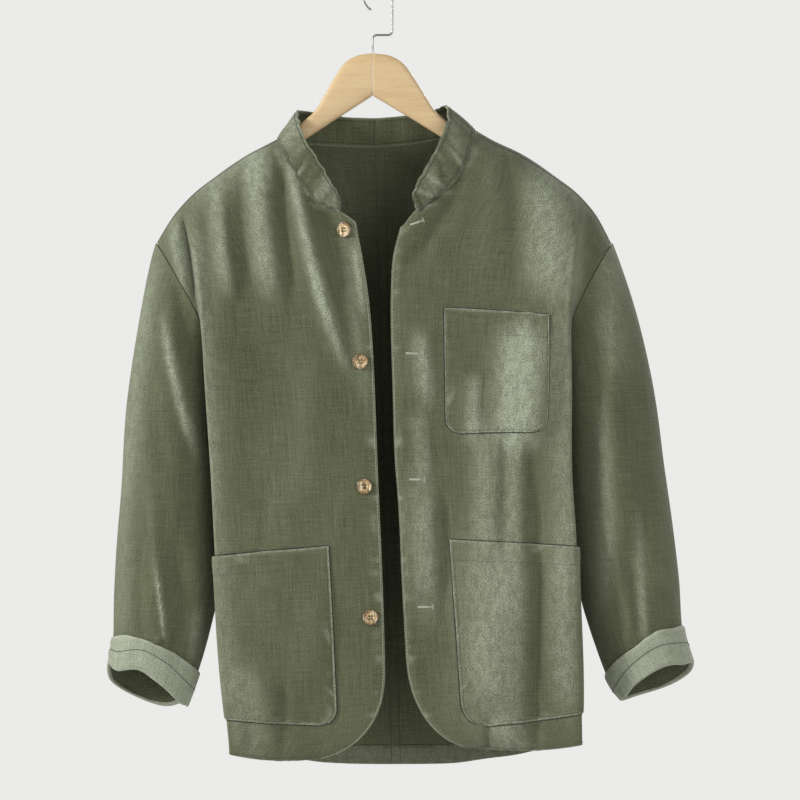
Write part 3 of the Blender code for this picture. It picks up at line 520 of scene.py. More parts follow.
COLLAR_CREASES = [
    Crease(-60, 236, -55, 256, 2.6, 2.0, 0.0, 0),
    Crease(-67, 230, -64, 250, 2.4, 1.6, 0.0, 0),
    Crease(-94, 176, -93, 194, 3.0, -2.4, 0.0, 0),
    Crease(-78, 204, -86, 226, 3.0, 1.4, 0.0, 0),
    Crease(-86, 186, -101, 204, 2.8, 1.5, 0.0, 0),
    Crease(-50, 242, -50, 260, 2.2, -1.4, 0.0, 0),
    Crease(65, 206, 66, 238, 3.0, 2.4, 0.0, 0),
    Crease(78, 176, 92, 200, 3.0, -1.6, 0.0, 0),
    Crease(76, 190, 90, 216, 2.8, 1.6, 0.0, 0),
    Crease(50, 222, 60, 246, 2.6, 1.6, 0.0, 0),
    Crease(44, 238, 52, 256, 2.2, -1.4, 0.0, 0),
]
COLLAR_NAP_AND_HIGHLIGHTS = [
    Crease(-90, 146, -106, 190, 14, 0.8, 0.0, 0),
    Crease(-58, 226, -50, 258, 8, 0.6, 0.0, 0),
    Crease(80, 160, 96, 200, 10, 0.5, 0.0, 0),
    Crease(56, 214, 66, 246, 8, 0.5, 0.0, 0),
]
# How pale the rubbed edges are, the limit of nap and painted highlight, and the strength of the painted
# highlights on gathers, collar crinkles and ridges
EDGE_WEAR = 0.7
NAP_AND_HIGHLIGHT_LIMIT = 1.5
GATHER_HIGHLIGHT = 0.9
COLLAR_CRINKLE_HIGHLIGHT = 0.8
RIDGE_HIGHLIGHT = 0.35
RIDGE_HIGHLIGHT_HEIGHT = 9.0

# Small uneven waves in the cloth: how far apart across and down, and how high
Ripple = namedtuple("Ripple", "across down height shift")
RIPPLES = [Ripple(34, 95, 1.3, 3.1), Ripple(15, 34, 0.45, 11.7), Ripple(6.5, 9, 0.13, 23.9)]
SLEEVE_RIPPLES = [Ripple(26, 60, 1.2, 7.3), Ripple(12, 22, 0.45, 17.1), Ripple(6, 8, 0.13, 29.3)]
RIPPLE_SEED = 41
LATTICE = 64
PUCKER = Ripple(6.5, 16, 0.75, 5.7)
PUCKER_REACH = 11.0
EDGE_ROLL = 4.5
EDGE_ROLL_WIDTH = 5.0
HEM_WAVE = Ripple(46, 400, 2.2, 37.3)
COLLAR_CRINKLE = Ripple(7, 26, 2.2, 8.3)
COLLAR_RIPPLE = Ripple(20, 60, 1.3, 4.1)
CUFF_WAVE = Ripple(0.5, 0.05, 0.006, 3.3)
FACE_SHIFT = 500.0
HEM_WAVE_POWER = 12
EDGE_REACH = 1.8

# Stitching
STITCH_LENGTH = 2.6
STITCH_PITCH = 3.5
STITCH_RADIUS = 0.3
SEAM_RADIUS = 0.42
EDGE_STITCH = 2.6
HEM_STITCH = 20.0
HEM_INSIDE_FADE = 0.42
BACK_SEAM_PLACE = 0.003
BACK_SEAM_EDGE = 0.038
# The seam thread's stitches overlap into one unbroken near-black line, painted shadow in the seam's groove
# as well as its stitching
SEAM_PITCH = 2.2
SHOULDER_SEAM_PLACE = 0.006
# A near-black cord just outside each pocket's edge, painted shadow of the edge
POCKET_SHADOW_OFFSET = 1.2
POCKET_SHADOW_RADIUS = 0.55
STITCH_LOOK = 0.5
STITCH_STAND = 0.4
PANEL_WIDTH, PANEL_LENGTH = 290.0, 735.0
FRONT_EDGE_SPAN = (NECK_SHARE + 0.004, 0.996)
HEM_SPAN = (0.012, 0.985)
BACK_SEAM_SPAN = (NECK_SHARE, 0.998)
SHOULDER_SPAN = (0.02, 0.97)
COLLAR_SPAN = (0.01, 0.985)
COLLAR_BACK_SPAN = (0.05, 0.97)
COLLAR_BACK_PLACE = 0.006
COLLAR_STITCH_HEIGHTS = (0.13, 0.90)
COLLAR_SEAM_HEIGHT = 0.04
CUFF_STITCH_SHARE = 0.042
CUFF_STITCH_BOW = 0.014
CUFF_STITCH_STAND = 3.2
CUFF_STITCH_RISE = 0.4
POCKET_STITCH_WIDTH = 140.0
POCKET_STITCH_START = 0.004
LONG_LINE, LINE, SHORT_LINE = 500, 300, 40
POCKET_DOWN_LINE, POCKET_OVER_LINE, POCKET_SHADOW_POINTS, CUFF_LINE = 260, 200, 240, 240
Thread = namedtuple("Thread", "look pitch radius")

# One small rounded bar of thread: its rings, as places along it and sizes, and the faces of its ends
BAR_RINGS = ((-0.5, 0.35), (-0.34, 0.95), (0.34, 0.95), (0.5, 0.35))
BAR_SIDES = 6
BAR_CAPS = ((0, 1, 2, 3), (0, 3, 4, 5))

# The flat cloth that each piece shows, in metres and square metres
Cut = namedtuple("Cut", "width length area")

# How finely the cloth is meshed
PANEL_COLUMNS, PANEL_ROWS = 104, 236
SLEEVE_STEPS, SLEEVE_ROWS = 120, 170
COLLAR_COLUMNS, COLLAR_ROWS = 110, 22
POCKET_COLUMNS, POCKET_ROWS, POCKET_CORNER_ROWS = 84, 70, 16
CUFF_STEPS = 144
CUFF_INSIDE_STEPS, CUFF_RIM_STEPS, CUFF_OUTSIDE_STEPS = 4, 9, 16
EDGE_BIAS = 0.4
SHARP_ANGLE = math.radians(55)

# The photograph's view: its frame in millimetres, and the plane that the frame is measured on
VIEW_WIDTH = 912.0
VIEW_CENTRE = (25.0, -476.5)
VIEW_PLANE_Y = -30.0
VIEW_DISTANCE = 5000.0
SENSOR = 36.0
FLOOR_DROP = 1500.0
FLOOR_REACH = 4.0

# The lights, in metres and watts, and the room
Light = namedtuple("Light", "name place size power")
LIGHTS = [
    Light("key", (-5.6, -2.15, 1.5), 1.4, 375),
    Light("fill", (2.2, -3.6, 0.3), 2.5, 54),
    Light("back", (1.6, 2.6, 1.1), 1.4, 35),
]
LIGHT_AIM = (0.02, 0.0, -0.45)
ROOM_TONE = (0.38, 0.38, 0.38)
BAND_TONE = (0.83, 0.83, 0.815)
BAND_HEIGHTS = (0.35, 0.12)

# Colours
# The last cloth colour is the pale of rubbed wear and of the painted highlights
ClothColours = namedtuple("ClothColours", "dark middle pale worn")
OLIVE = ClothColours(
    (0.064, 0.070, 0.036), (0.104, 0.113, 0.063), (0.165, 0.177, 0.110), (0.335, 0.362, 0.272)
)
OLIVE_INSIDE = ClothColours(
    (0.17, 0.19, 0.125), (0.27, 0.295, 0.22), (0.37, 0.40, 0.31), (0.45, 0.48, 0.38)
)
ThreadColours = namedtuple("ThreadColours", "dark pale")
OLIVE_THREAD = ThreadColours((0.04, 0.045, 0.026), (0.10, 0.11, 0.065))
PALE_THREAD = ThreadColours((0.18, 0.19, 0.135), (0.38, 0.40, 0.31))
# Brighter thread for the painted highlight on the buttonholes
HIGHLIT_THREAD = ThreadColours((0.32, 0.34, 0.26), (0.54, 0.56, 0.46))
# Near-black thread: dark thread, and painted shadow in seam grooves and buttonhole slits
DARK_THREAD_AND_SHADOW = ThreadColours((0.02, 0.022, 0.014), (0.05, 0.055, 0.034))
BEECH, BEECH_GRAIN, BEECH_FLECK, BEECH_PALE = (
    (0.595, 0.435, 0.235), (0.52, 0.36, 0.18), (0.40, 0.25, 0.12), (0.63, 0.48, 0.28)
)
HORN_BROWN, HORN_AMBER, HORN_CREAM, HORN_RIM_SHADE = (
    (0.15, 0.08, 0.026), (0.42, 0.29, 0.125), (0.72, 0.63, 0.43), (0.075, 0.036, 0.012)
)
WIRE_DARK, WIRE_PALE = (0.17, 0.17, 0.17), (0.42, 0.42, 0.41)
FLOOR_DARK, FLOOR_PALE = (0.70, 0.70, 0.69), (0.76, 0.76, 0.75)
SHEEN_TINT = (0.86, 0.9, 0.78, 1)


# Curves and smooth steps

def column(rows, name):
    return np.array([getattr(row, name) for row in rows], float)


def curve(knots, values, at):
    """A smooth curve through the values at the knots, each knot's slope taken from its neighbours."""
    knots = np.asarray(knots, float)
    values = np.asarray(values, float)
    slopes = np.gradient(values, knots, axis=0)
    at = np.clip(np.asarray(at, float), knots[0], knots[-1])
    i = np.clip(np.searchsorted(knots, at, side="right") - 1, 0, len(knots) - 2)
    width = knots[i + 1] - knots[i]
    f = (at - knots[i]) / width
    if values.ndim > 1:
        width = width[..., None]
        f = f[..., None]
    start = (1 + 2 * f) * (1 - f) ** 2 * values[i] + f * (1 - f) ** 2 * width * slopes[i]
    return start + f**2 * (3 - 2 * f) * values[i + 1] + f**2 * (f - 1) * width * slopes[i + 1]


def path_lengths(points):
    """How far along a path each of its points lies."""
    return np.concatenate([[0], np.cumsum(np.linalg.norm(np.diff(points, axis=0), axis=1))])


def along(points, share):
    """The point at a share of the way along a smooth line through these points."""
    points = np.asarray(points, float)
    reach = path_lengths(points)
    return curve(reach / reach[-1], points, share)


def soft_ramp(value, softness):
    """Nought below zero and the value itself above, rounded over the softness either side."""
    rounded = (value + softness) ** 2 / (4 * softness)
    return np.where(value < -softness, 0, np.where(value > softness, value, rounded))


def smooth_step(value):
    value = np.clip(value, 0, 1)
    return value * value * (3 - 2 * value)


def fade_in(value, width):
    """A smooth rise from nought to one over this width, half way up where the value is nought."""
    return smooth_step(value / width + 0.5)


def bell(value, half_width):
    """A smooth hump, one at nought and falling away over this width to either side."""
    return np.exp(-((value / half_width) ** 2))


def full_turn(steps):
    """Even angles once round, without the last."""
    return np.arange(steps) * 2 * math.pi / steps


def unit(vectors):
    return vectors / np.linalg.norm(vectors, axis=-1, keepdims=True)


def edge_spaced(count):
    """Shares from nought to one, closer together at both ends."""
    even = np.linspace(0, 1, count)
    return even * (1 - EDGE_BIAS) + (1 - np.cos(math.pi * even)) / 2 * EDGE_BIAS


# Relief of the cloth

WAVES = np.random.default_rng(RIPPLE_SEED).uniform(-1, 1, (LATTICE, LATTICE))


def ripple(row, x, drop, more_shift=0.0):
    """Smooth random waves of one ripple row."""
    shift = row.shift + more_shift
    u = x / row.across + shift
    v = drop / row.down + 2 * shift
    i = np.floor(u).astype(int)
    j = np.floor(v).astype(int)
    fu = smooth_step(u - i)
    fv = smooth_step(v - j)
    i, j, after_i, after_j = i % LATTICE, j % LATTICE, (i + 1) % LATTICE, (j + 1) % LATTICE
    near = WAVES[i, j] * (1 - fu) + WAVES[after_i, j] * fu
    far = WAVES[i, after_j] * (1 - fu) + WAVES[after_i, after_j] * fu
    return row.height * (near * (1 - fv) + far * fv)


def crease_lift(creases, x, drop):
    """How far the listed creases lift the cloth."""
    lift = np.zeros_like(x)
    for crease in creases:
        run_x = crease.end_x - crease.x
        run_drop = crease.end_drop - crease.drop
        length = math.hypot(run_x, run_drop)
        ahead = ((x - crease.x) * run_x + (drop - crease.drop) * run_drop) / length**2
        aside = ((x - crease.x) * run_drop - (drop - crease.drop) * run_x) / length
        aside = aside - crease.bow * 4 * ahead * (1 - ahead)
        width = crease.half_width * np.where(aside > 0, 1 + crease.lean, 1 - crease.lean)
        fade = fade_in(ahead, CREASE_FADE) * fade_in(1 - ahead, CREASE_FADE)
        lift = lift + crease.height * bell(aside, width) * fade
    return lift


def body_lift(face, x, drop):
    creases = FRONT_CREASES if face == FRONT else BACK_CREASES
    rumple = sum(ripple(row, x + FACE_SHIFT * face, drop) for row in RIPPLES)
    return crease_lift(creases, x, drop) * CREASE_DEPTH + rumple


def sleeve_lift(front, x, drop):
    before = crease_lift(SLEEVE_FRONT_CREASES, x, drop)
    behind = crease_lift(SLEEVE_BACK_CREASES, x, drop)
    rumple = sum(ripple(row, x, drop) for row in SLEEVE_RIPPLES)
    return np.where(front, before, behind) * SLEEVE_CREASE_DEPTH + rumple


def pale_nap_and_highlight(nap_and_highlights, lift, x, drop):
    """How much pale nap and painted highlight shows, from nought to one: where it was laid, and a painted
    highlight on the ridges.
    """
    # Painted highlight on the crests of the ridges
    ridge_highlight = RIDGE_HIGHLIGHT * smooth_step(lift / RIDGE_HIGHLIGHT_HEIGHT)
    return np.clip(crease_lift(nap_and_highlights, x, drop) + ridge_highlight, 0, NAP_AND_HIGHLIGHT_LIMIT)


def pucker(distance, run):
    """The small gathers that a line of stitching pulls into the cloth beside it."""
    return ripple(PUCKER, run, distance) * bell(distance, PUCKER_REACH)


def gather_highlight(distance, run):
    """A painted highlight on the crests of those gathers: how much paler they are."""
    return GATHER_HIGHLIGHT * smooth_step(pucker(distance, run) / PUCKER.height)


# The body

def body_half(name, drop):
    return curve(column(BODY, "drop"), column(BODY, name), drop)


def shoulder_drop(side, half):
    name = "right_half" if side == RIGHT else "left_half"
    return curve(column(SHOULDER, name), column(SHOULDER, "drop"), half)


def armhole_points(side, face):
    """The armhole seam's own points, from the shoulder tip to the underarm."""
    drop = column(ARMHOLE, "drop")
    x = body_half("centre", drop) + side * column(ARMHOLE, "half")
    y = column(ARMHOLE, "front_y" if face == FRONT else "back_y")
    return np.stack([x, y, drop], axis=-1)


def collar_line(side, edge, share):
    """The collar's seam or its top edge, from the centre back to the tip: x, y and drop."""
    rows = COLLAR[side]
    knots = np.linspace(0, 1, len(rows))
    names = [f"{edge}_{axis}" for axis in ("x", "y", "drop")]
    return np.stack([curve(knots, column(rows, name), share) for name in names], axis=-1)


def neck_points(side, face):
    """The neckline seam's own points, from the shoulder to the front's top corner or to the centre back."""
    rows = COLLAR[side]
    seam = np.stack([column(rows, name) for name in ("seam_x", "seam_y", "seam_drop")], axis=-1)
    if face == FRONT:
        return np.concatenate([seam[COLLAR_SHOULDER_ROW:], [NECK_POINT[side]]])
    return seam[COLLAR_SHOULDER_ROW::-1]


def front_edge_x(side, drop):
    """The free front edge, with its rounded corner at the hem."""
    name = "right_x" if side == RIGHT else "left_x"
    x = curve(column(FRONT_EDGE, "drop"), column(FRONT_EDGE, name), drop)
    corner = HEM_CORNER[side]
    fall = np.clip((drop - corner.start_drop) / (corner.hem_drop - corner.start_drop), 0, 1)
    inset = corner.width * (1 - (1 - fall**corner.power) ** (1 / corner.power))
    return x + side * inset


def inner_edge(side, face, t):
    """The panel's edge at the neck and down the centre: x, y and drop."""
    neck = neck_points(side, face)
    on_neck = along(neck, np.clip(t / NECK_SHARE, 0, 1))
    below = np.clip((t - NECK_SHARE) / (1 - NECK_SHARE), 0, 1)
    hem_drop = HEM_CORNER[side].hem_drop if face == FRONT else BACK_HEM_DROP
    drop = neck[-1, 2] + (hem_drop - neck[-1, 2]) * below
    if face == FRONT:
        x = front_edge_x(side, drop)
        y = FRONT_EDGE_Y
    else:
        x = neck[-1, 0] + (CENTRE_BACK_X_HEM - neck[-1, 0]) * below
        y = BACK_DEPTH
    y = neck[-1, 1] + (y - neck[-1, 1]) * smooth_step(below / NECK_SHARE)
    down = np.stack([x, y, drop], axis=-1)
    return np.where((t < NECK_SHARE)[..., None], on_neck, down)


def outer_edge(side, face, t):
    """The panel's edge at the armhole and down the side seam: x, y and drop."""
    armhole = armhole_points(side, face)
    on_armhole = along(armhole, np.clip(t / ARMHOLE_SHARE, 0, 1))
    below = np.clip((t - ARMHOLE_SHARE) / (1 - ARMHOLE_SHARE), 0, 1)
    hem_drop = FRONT_HEM_SIDE_DROP[side] if face == FRONT else BACK_HEM_SIDE_DROP[side]
    drop = armhole[-1, 2] + (hem_drop - armhole[-1, 2]) * below
    x = body_half("centre", drop) + side * body_half("seam_half", drop)
    down = np.stack([x, np.full_like(drop, SIDE_SEAM_Y), drop], axis=-1)
    return np.where((t < ARMHOLE_SHARE)[..., None], on_armhole, down)


def round_the_side(s):
    """How far across the flat of a panel and how far round its turned-back side, each up to one."""
    turned = soft_ramp(s - FOLD_AT, FOLD_SOFTNESS)
    return (s - turned) / FOLD_AT, turned / (1 - FOLD_AT)


def shoulder_bow(side, s, t):
    """How far the shoulder seam lies below the straight line from neck to tip, fading down the panel."""
    neck = neck_points(side, FRONT)[0]
    tip = armhole_points(side, FRONT)[0]
    fold_x = SHOULDER_CENTRE + side * BODY[0].front_half
    across, turned = round_the_side(s)
    x = neck[0] + (fold_x - neck[0]) * across + (tip[0] - fold_x) * turned
    bow = shoulder_drop(side, np.abs(x - SHOULDER_CENTRE)) - (neck[2] + (tip[2] - neck[2]) * s)
    return bow * np.clip(1 - t / SHOULDER_BOW_SHARE, 0, 1) ** 2


def panel(side, face, s, t):
    """Points of a body panel: s from its centre edge to its outer edge, t from the shoulder to the hem."""
    s, t = np.broadcast_arrays(np.asarray(s, float), np.asarray(t, float))
    inner = inner_edge(side, face, t)
    outer = outer_edge(side, face, t)
    across, turned = round_the_side(s)
    fall = outer[..., 2] - inner[..., 2]
    sag = HEM_SAG[side, face] * np.sin(math.pi * s) * t**HEM_SAG_POWER
    drop = inner[..., 2] + fall * s + shoulder_bow(side, s, t) + sag

    fold_drop = inner[..., 2] + fall * FOLD_AT + shoulder_bow(side, np.full_like(s, FOLD_AT), t)
    half = body_half("front_half" if face == FRONT else "back_half", fold_drop)
    fold_x = body_half("centre", fold_drop) + side * half
    x = inner[..., 0] + (fold_x - inner[..., 0]) * across + (outer[..., 0] - fold_x) * turned

    round_top = np.sqrt(1 - (1 - np.clip(t / SHOULDER_ROUND_SHARE, 0, 1)) ** 2)
    depth = FRONT_DEPTH if face == FRONT else BACK_DEPTH
    plane_y = inner[..., 1] + (face * depth * round_top - inner[..., 1]) * across
    edge_hold = FRONT_EDGE_HOLD if face == FRONT else 0.0
    free = edge_hold + (1 - edge_hold) * smooth_step(across / FREE_EDGE_SHARE)
    free = free * smooth_step(t / FREE_TOP_SHARE)
    lift = body_lift(face, x, drop) + pucker(across * half, drop)
    lift = lift + FOLD_RIDGE * bell(s - FOLD_AT, FOLD_RIDGE_WIDTH)
    y = plane_y + (outer[..., 1] - plane_y) * turned + face * lift * free * (1 - turned**2)
    if face == FRONT and side == LEFT:
        y = y + EDGE_ROLL * bell(across * half, EDGE_ROLL_WIDTH) * smooth_step(t / NECK_SHARE)
    drop = drop + ripple(HEM_WAVE, x, drop) * np.sin(math.pi * s) * t**HEM_WAVE_POWER
    return np.stack([x, y, -drop], axis=-1)


def panel_place(side, x, drop):
    """The s and t of a front panel at a place on it, found by Newton's steps from its middle."""
    x, drop = np.broadcast_arrays(np.asarray(x, float), np.asarray(drop, float))
    s = np.full(x.shape, PLACE_START[0])
    t = np.full(x.shape, PLACE_START[1])
    for _ in range(PLACE_STEPS):
        here = panel(side, FRONT, s, t)
        by_s = (panel(side, FRONT, s + PLACE_NUDGE, t) - here) / PLACE_NUDGE
        by_t = (panel(side, FRONT, s, t + PLACE_NUDGE) - here) / PLACE_NUDGE
        miss_x = x - here[..., 0]
        miss_z = -drop - here[..., 2]
        det = by_s[..., 0] * by_t[..., 2] - by_t[..., 0] * by_s[..., 2]
        s = np.clip(s + (miss_x * by_t[..., 2] - miss_z * by_t[..., 0]) / det, 0, FOLD_AT)
        t = np.clip(t + (miss_z * by_s[..., 0] - miss_x * by_s[..., 2]) / det, 0, 1 - PLACE_NUDGE)
    return s, t


# Meshes

def mesh_object(name, points, faces, look, uv=None, wear_and_painted_light=None):
    """An object from points in millimetres and four-sided faces, turned outwards."""
    faces = np.asarray(faces)
    a, b, c, d = (points[faces[:, k]] for k in range(4))
    volume = np.sum(np.cross(a, b) * c) + np.sum(np.cross(a, c) * d)
    if volume < 0:
        faces = faces[:, ::-1]
        uv = uv[:, ::-1] if uv is not None else None
    mesh = bpy.data.meshes.new(name)
    mesh.from_pydata((points * MM).tolist(), [], faces.tolist())
    if uv is not None:
        layer = mesh.uv_layers.new(name="cloth")
        layer.uv.foreach_set("vector", (uv * MM).astype(np.float32).ravel())
    if wear_and_painted_light is not None:
        values = mesh.attributes.new("wear_and_painted_light", "FLOAT", "POINT").data
        values.foreach_set("value", wear_and_painted_light.astype(np.float32).ravel())
    mesh.shade_smooth()
    mesh.set_sharp_from_angle(angle=SHARP_ANGLE)
    mesh.materials.append(look)
    piece = bpy.data.objects.new(name, mesh)
    bpy.context.collection.objects.link(piece)
    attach(piece, "root")
    return piece


def wall_corners(rows, columns, wrap):
    """The corners of a closed wall's faces over a grid, each as layer, row and column."""
    def cells(layer, r, c):
        parts = np.broadcast_arrays(layer, r, c)
        return np.stack(parts, axis=-1)

    r, c = np.meshgrid(np.arange(rows - 1), np.arange(columns - 1 + wrap), indexing="ij")
    r, c = r.ravel(), c.ravel()
    square = [(r, c), (r, c + 1), (r + 1, c + 1), (r + 1, c)]
    faces = [np.stack([cells(0, *corner) for corner in square], axis=1)]
    faces.append(np.stack([cells(1, *corner) for corner in square[::-1]], axis=1))
    c = np.arange(columns - 1 + wrap)
    r = np.arange(rows - 1)
    rims = [
        [(0, 0, c + 1), (0, 0, c), (1, 0, c), (1, 0, c + 1)],
        [(0, rows - 1, c), (0, rows - 1, c + 1), (1, rows - 1, c + 1), (1, rows - 1, c)],
    ]
    if not wrap:
        end = columns - 1
        rims.append([(0, r, 0), (0, r + 1, 0), (1, r + 1, 0), (1, r, 0)])
        rims.append([(0, r + 1, end), (0, r, end), (1, r, end), (1, r + 1, end)])
    faces += [np.stack([cells(*corner) for corner in rim], axis=1) for rim in rims]
    return np.concatenate(faces)


def body_centre(points):
    """The points of the body's upright axis level with these."""
    return np.array([*BODY_AXIS, 0]) + points * [0, 0, 1]


def collar_centre(points):
    """The points of the collar's upright axis level with these."""
    return np.array([*COLLAR_AXIS, 0]) + points * [0, 0, 1]


def grid_normals(points, centre, wrap=False):
    """Unit normals of a grid of points, pointing away from the centre."""
    if wrap:
        across = np.roll(points, -1, axis=1) - np.roll(points, 1, axis=1)
    else:
        across = np.gradient(points, axis=1)
    normals = unit(np.cross(np.gradient(points, axis=0), across))
    return normals * np.sign(np.sum(normals * (points - centre)))


def capped_rings(name, rings, ends, look, wear_and_painted_light=None):
    """An object from rings of points, the first and the last each closed with a fan about an end point."""
    rows, steps = rings.shape[:2]
    r, c = np.meshgrid(np.arange(rows - 1), np.arange(steps), indexing="ij")
    start = r * steps
    after = (c + 1) % steps
    sides = np.stack([start + c, start + after, start + steps + after, start + steps + c], axis=-1)
    first = np.arange(0, steps, 2)
    fan = np.stack([first, first + 1, (first + 2) % steps], axis=-1)
    near = np.insert(fan[:, ::-1], 0, rows * steps, axis=1)
    far = np.insert(fan + (rows - 1) * steps, 0, rows * steps + 1, axis=1)
    points = np.concatenate([rings.reshape(-1, 3), ends])
    return mesh_object(name, points, np.concatenate([sides.reshape(-1, 4), near, far]), look, wear_and_painted_light=wear_and_painted_light)


def shell(name, middle, normals, thickness, look, uv, wear_and_painted_light, wrap=False):
    """A closed cloth wall about a grid of points. uv has one more column than a wrapped grid, and
    wear_and_painted_light, rubbed wear with painted light, is one grid for both faces or two, the outer
    first."""
    rows, columns = middle.shape[:2]
    out = normals * (np.asarray(thickness) / 2)
    points = np.concatenate([(middle + out).reshape(-1, 3), (middle - out).reshape(-1, 3)])
    corners = wall_corners(rows, columns, wrap)
    layer, row, place = corners[..., 0], corners[..., 1], corners[..., 2]
    faces = layer * rows * columns + row * columns + place % columns
    wear_and_painted_light = np.broadcast_to(wear_and_painted_light, (2, rows, columns))
    return mesh_object(name, points, faces, look, uv[row, place], wear_and_painted_light)


def row_lengths(points):
    """How far each point of a grid lies along its row, in millimetres."""
    steps = np.linalg.norm(np.diff(points, axis=1), axis=-1)
    return np.concatenate([np.zeros((len(points), 1)), np.cumsum(steps, axis=1)], axis=1)


def column_lengths(points):
    return row_lengths(points.swapaxes(0, 1)).swapaxes(0, 1)


def edge_wear(distance, reach=EDGE_REACH):
    return EDGE_WEAR * bell(distance, reach)


def declare(node):
    """Hides the imported solid that a cloth piece stands for."""
    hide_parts(node)


def make_panels(look):
    s = edge_spaced(PANEL_COLUMNS)[None, :]
    t = edge_spaced(PANEL_ROWS)[:, None]
    for side_name, side in SIDES.items():
        for face_name, face in (("front", FRONT), ("back", BACK)):
            name = f"{face_name}_{side_name}"
            points = panel(side, face, s, t)
            normals = grid_normals(points, body_centre(points))
            across = row_lengths(points)
            down = column_lengths(points)
            middle = PANEL_ROWS // 2
            up = points[middle, :, 2] + down[middle] - down
            uv = np.stack([across - across[:, PANEL_COLUMNS // 2, None], up], axis=-1)
            x, drop = points[..., 0], -points[..., 2]
            # Rubbed hem and edges, the pale nap with painted highlights on the fronts, and painted
            # highlights on the gathers' crests
            nap_and_highlights = FRONT_NAP_AND_HIGHLIGHTS if face == FRONT else []
            wear_and_painted_light = np.maximum(edge_wear(down[-1] - down), pale_nap_and_highlight(nap_and_highlights, body_lift(face, x, drop), x, drop))
            if face == FRONT:
                wear_and_painted_light = np.maximum.reduce([wear_and_painted_light, edge_wear(across), gather_highlight(across, drop)])
            else:
                turned_up = HEM_INSIDE_FADE * (down[-1] - down < HEM_STITCH)
                wear_and_painted_light = np.stack([wear_and_painted_light, np.maximum(wear_and_painted_light, turned_up)])
            piece = shell(f"{name}_cloth", points, normals, CLOTH, look, uv, wear_and_painted_light)
            declare(name)


# Sleeves and cuffs

def rim_wave(side, turn):
    """How far the uneven rim of a cuff hangs below its ring."""
    drop = np.zeros_like(turn)
    for wave in RIM_WAVES[side]:
        apart = (np.degrees(turn) - wave.turn + 180) % 360 - 180
        drop = drop + wave.drop * bell(apart, wave.half_width)
    return drop


def sleeve(side, turn, share):
    """Points of a sleeve: turn goes round from the shoulder over the front, share from armhole to rim."""
    turn, share = np.broadcast_arrays(np.asarray(turn, float), np.asarray(share, float))
    rows = SLEEVE[side]
    knots = np.linspace(0, 1, len(rows))
    ring = {name: curve(knots, column(rows, name), share) for name in SleeveRow._fields}
    cosine, sine = np.cos(turn), np.sin(turn)
    x = (ring["outer_x"] + ring["inner_x"]) / 2 + (ring["outer_x"] - ring["inner_x"]) / 2 * cosine
    drop = (ring["outer_drop"] + ring["inner_drop"]) / 2
    toward_rim = smooth_step((share - RIM_WAVE_START) / (1 - RIM_WAVE_START))
    round_sine = np.sign(sine) * np.abs(sine) ** (1 - (1 - RIM_BLUNTNESS) * toward_rim)
    drop = drop + (ring["outer_drop"] - ring["inner_drop"]) / 2 * cosine - ring["front_lift"] * round_sine
    drop = drop + rim_wave(side, turn) * toward_rim
    y = ring["mid_y"] - ring["half_depth"] * round_sine
    hanging = np.stack([x, y, -drop], axis=-1)

    down = np.abs((turn + math.pi) % (2 * math.pi) - math.pi) / math.pi
    front = along(armhole_points(side, FRONT), down)
    back = along(armhole_points(side, BACK), down)
    seam = np.where((sine >= 0)[..., None], front, back) * [1, 1, -1]
    seam = seam + [side * SLEEVE_START_GAP, 0, 0]
    cap = 1 - smooth_step(share / SLEEVE_CAP_SHARE)[..., None]
    points = hanging + (seam - hanging) * cap
    lift = sleeve_lift(sine >= 0, points[..., 0], -points[..., 2])
    calm = CUFF_CALM * smooth_step((share - CUFF_START) / CUFF_CALM_SHARE)
    points[..., 1] -= lift * sine * smooth_step(share / SLEEVE_FREE_SHARE) * (1 - calm)
    return points


def cuff_profile():
    """The turned-up cuff in section: shares down the sleeve, and how far each point stands off it."""
    outer = CUFF_MIDDLE + CUFF_ROLL
    flare = CUFF_FLARE / (SLEEVE_END - CUFF_START)
    inside_shares = np.linspace(CUFF_INSIDE_START, SLEEVE_END, CUFF_INSIDE_STEPS)[:-1]
    outside_shares = np.linspace(SLEEVE_END, CUFF_START, CUFF_OUTSIDE_STEPS)[1:]
    rim = np.linspace(-0.5, 0.5, CUFF_RIM_STEPS) * math.pi
    rim_shares = SLEEVE_END + CUFF_RIM_SHARE * np.cos(rim)

    inside = [(share, CUFF_MIDDLE - CUFF_ROLL) for share in inside_shares]
    round_rim = list(zip(rim_shares, CUFF_MIDDLE + CUFF_ROLL * np.sin(rim)))
    outside = [(share, outer + flare * (SLEEVE_END - share)) for share in outside_shares]
    turn_over = [(CUFF_START - CUFF_TURN_SHARE, outer + CUFF_FLARE - sink) for sink in CUFF_TURN_SINKS]
    back_in = [(share, stand - CUFF_CLOTH) for share, stand in outside[::-1]]
    fold = [(SLEEVE_END - CUFF_FOLD_SHARE, stand) for stand in CUFF_FOLD_STANDS]
    lining = [(share, stand + CUFF_LINING) for share, stand in inside[::-1]]
    return np.array(inside + round_rim + outside + turn_over + back_in + fold + lining)


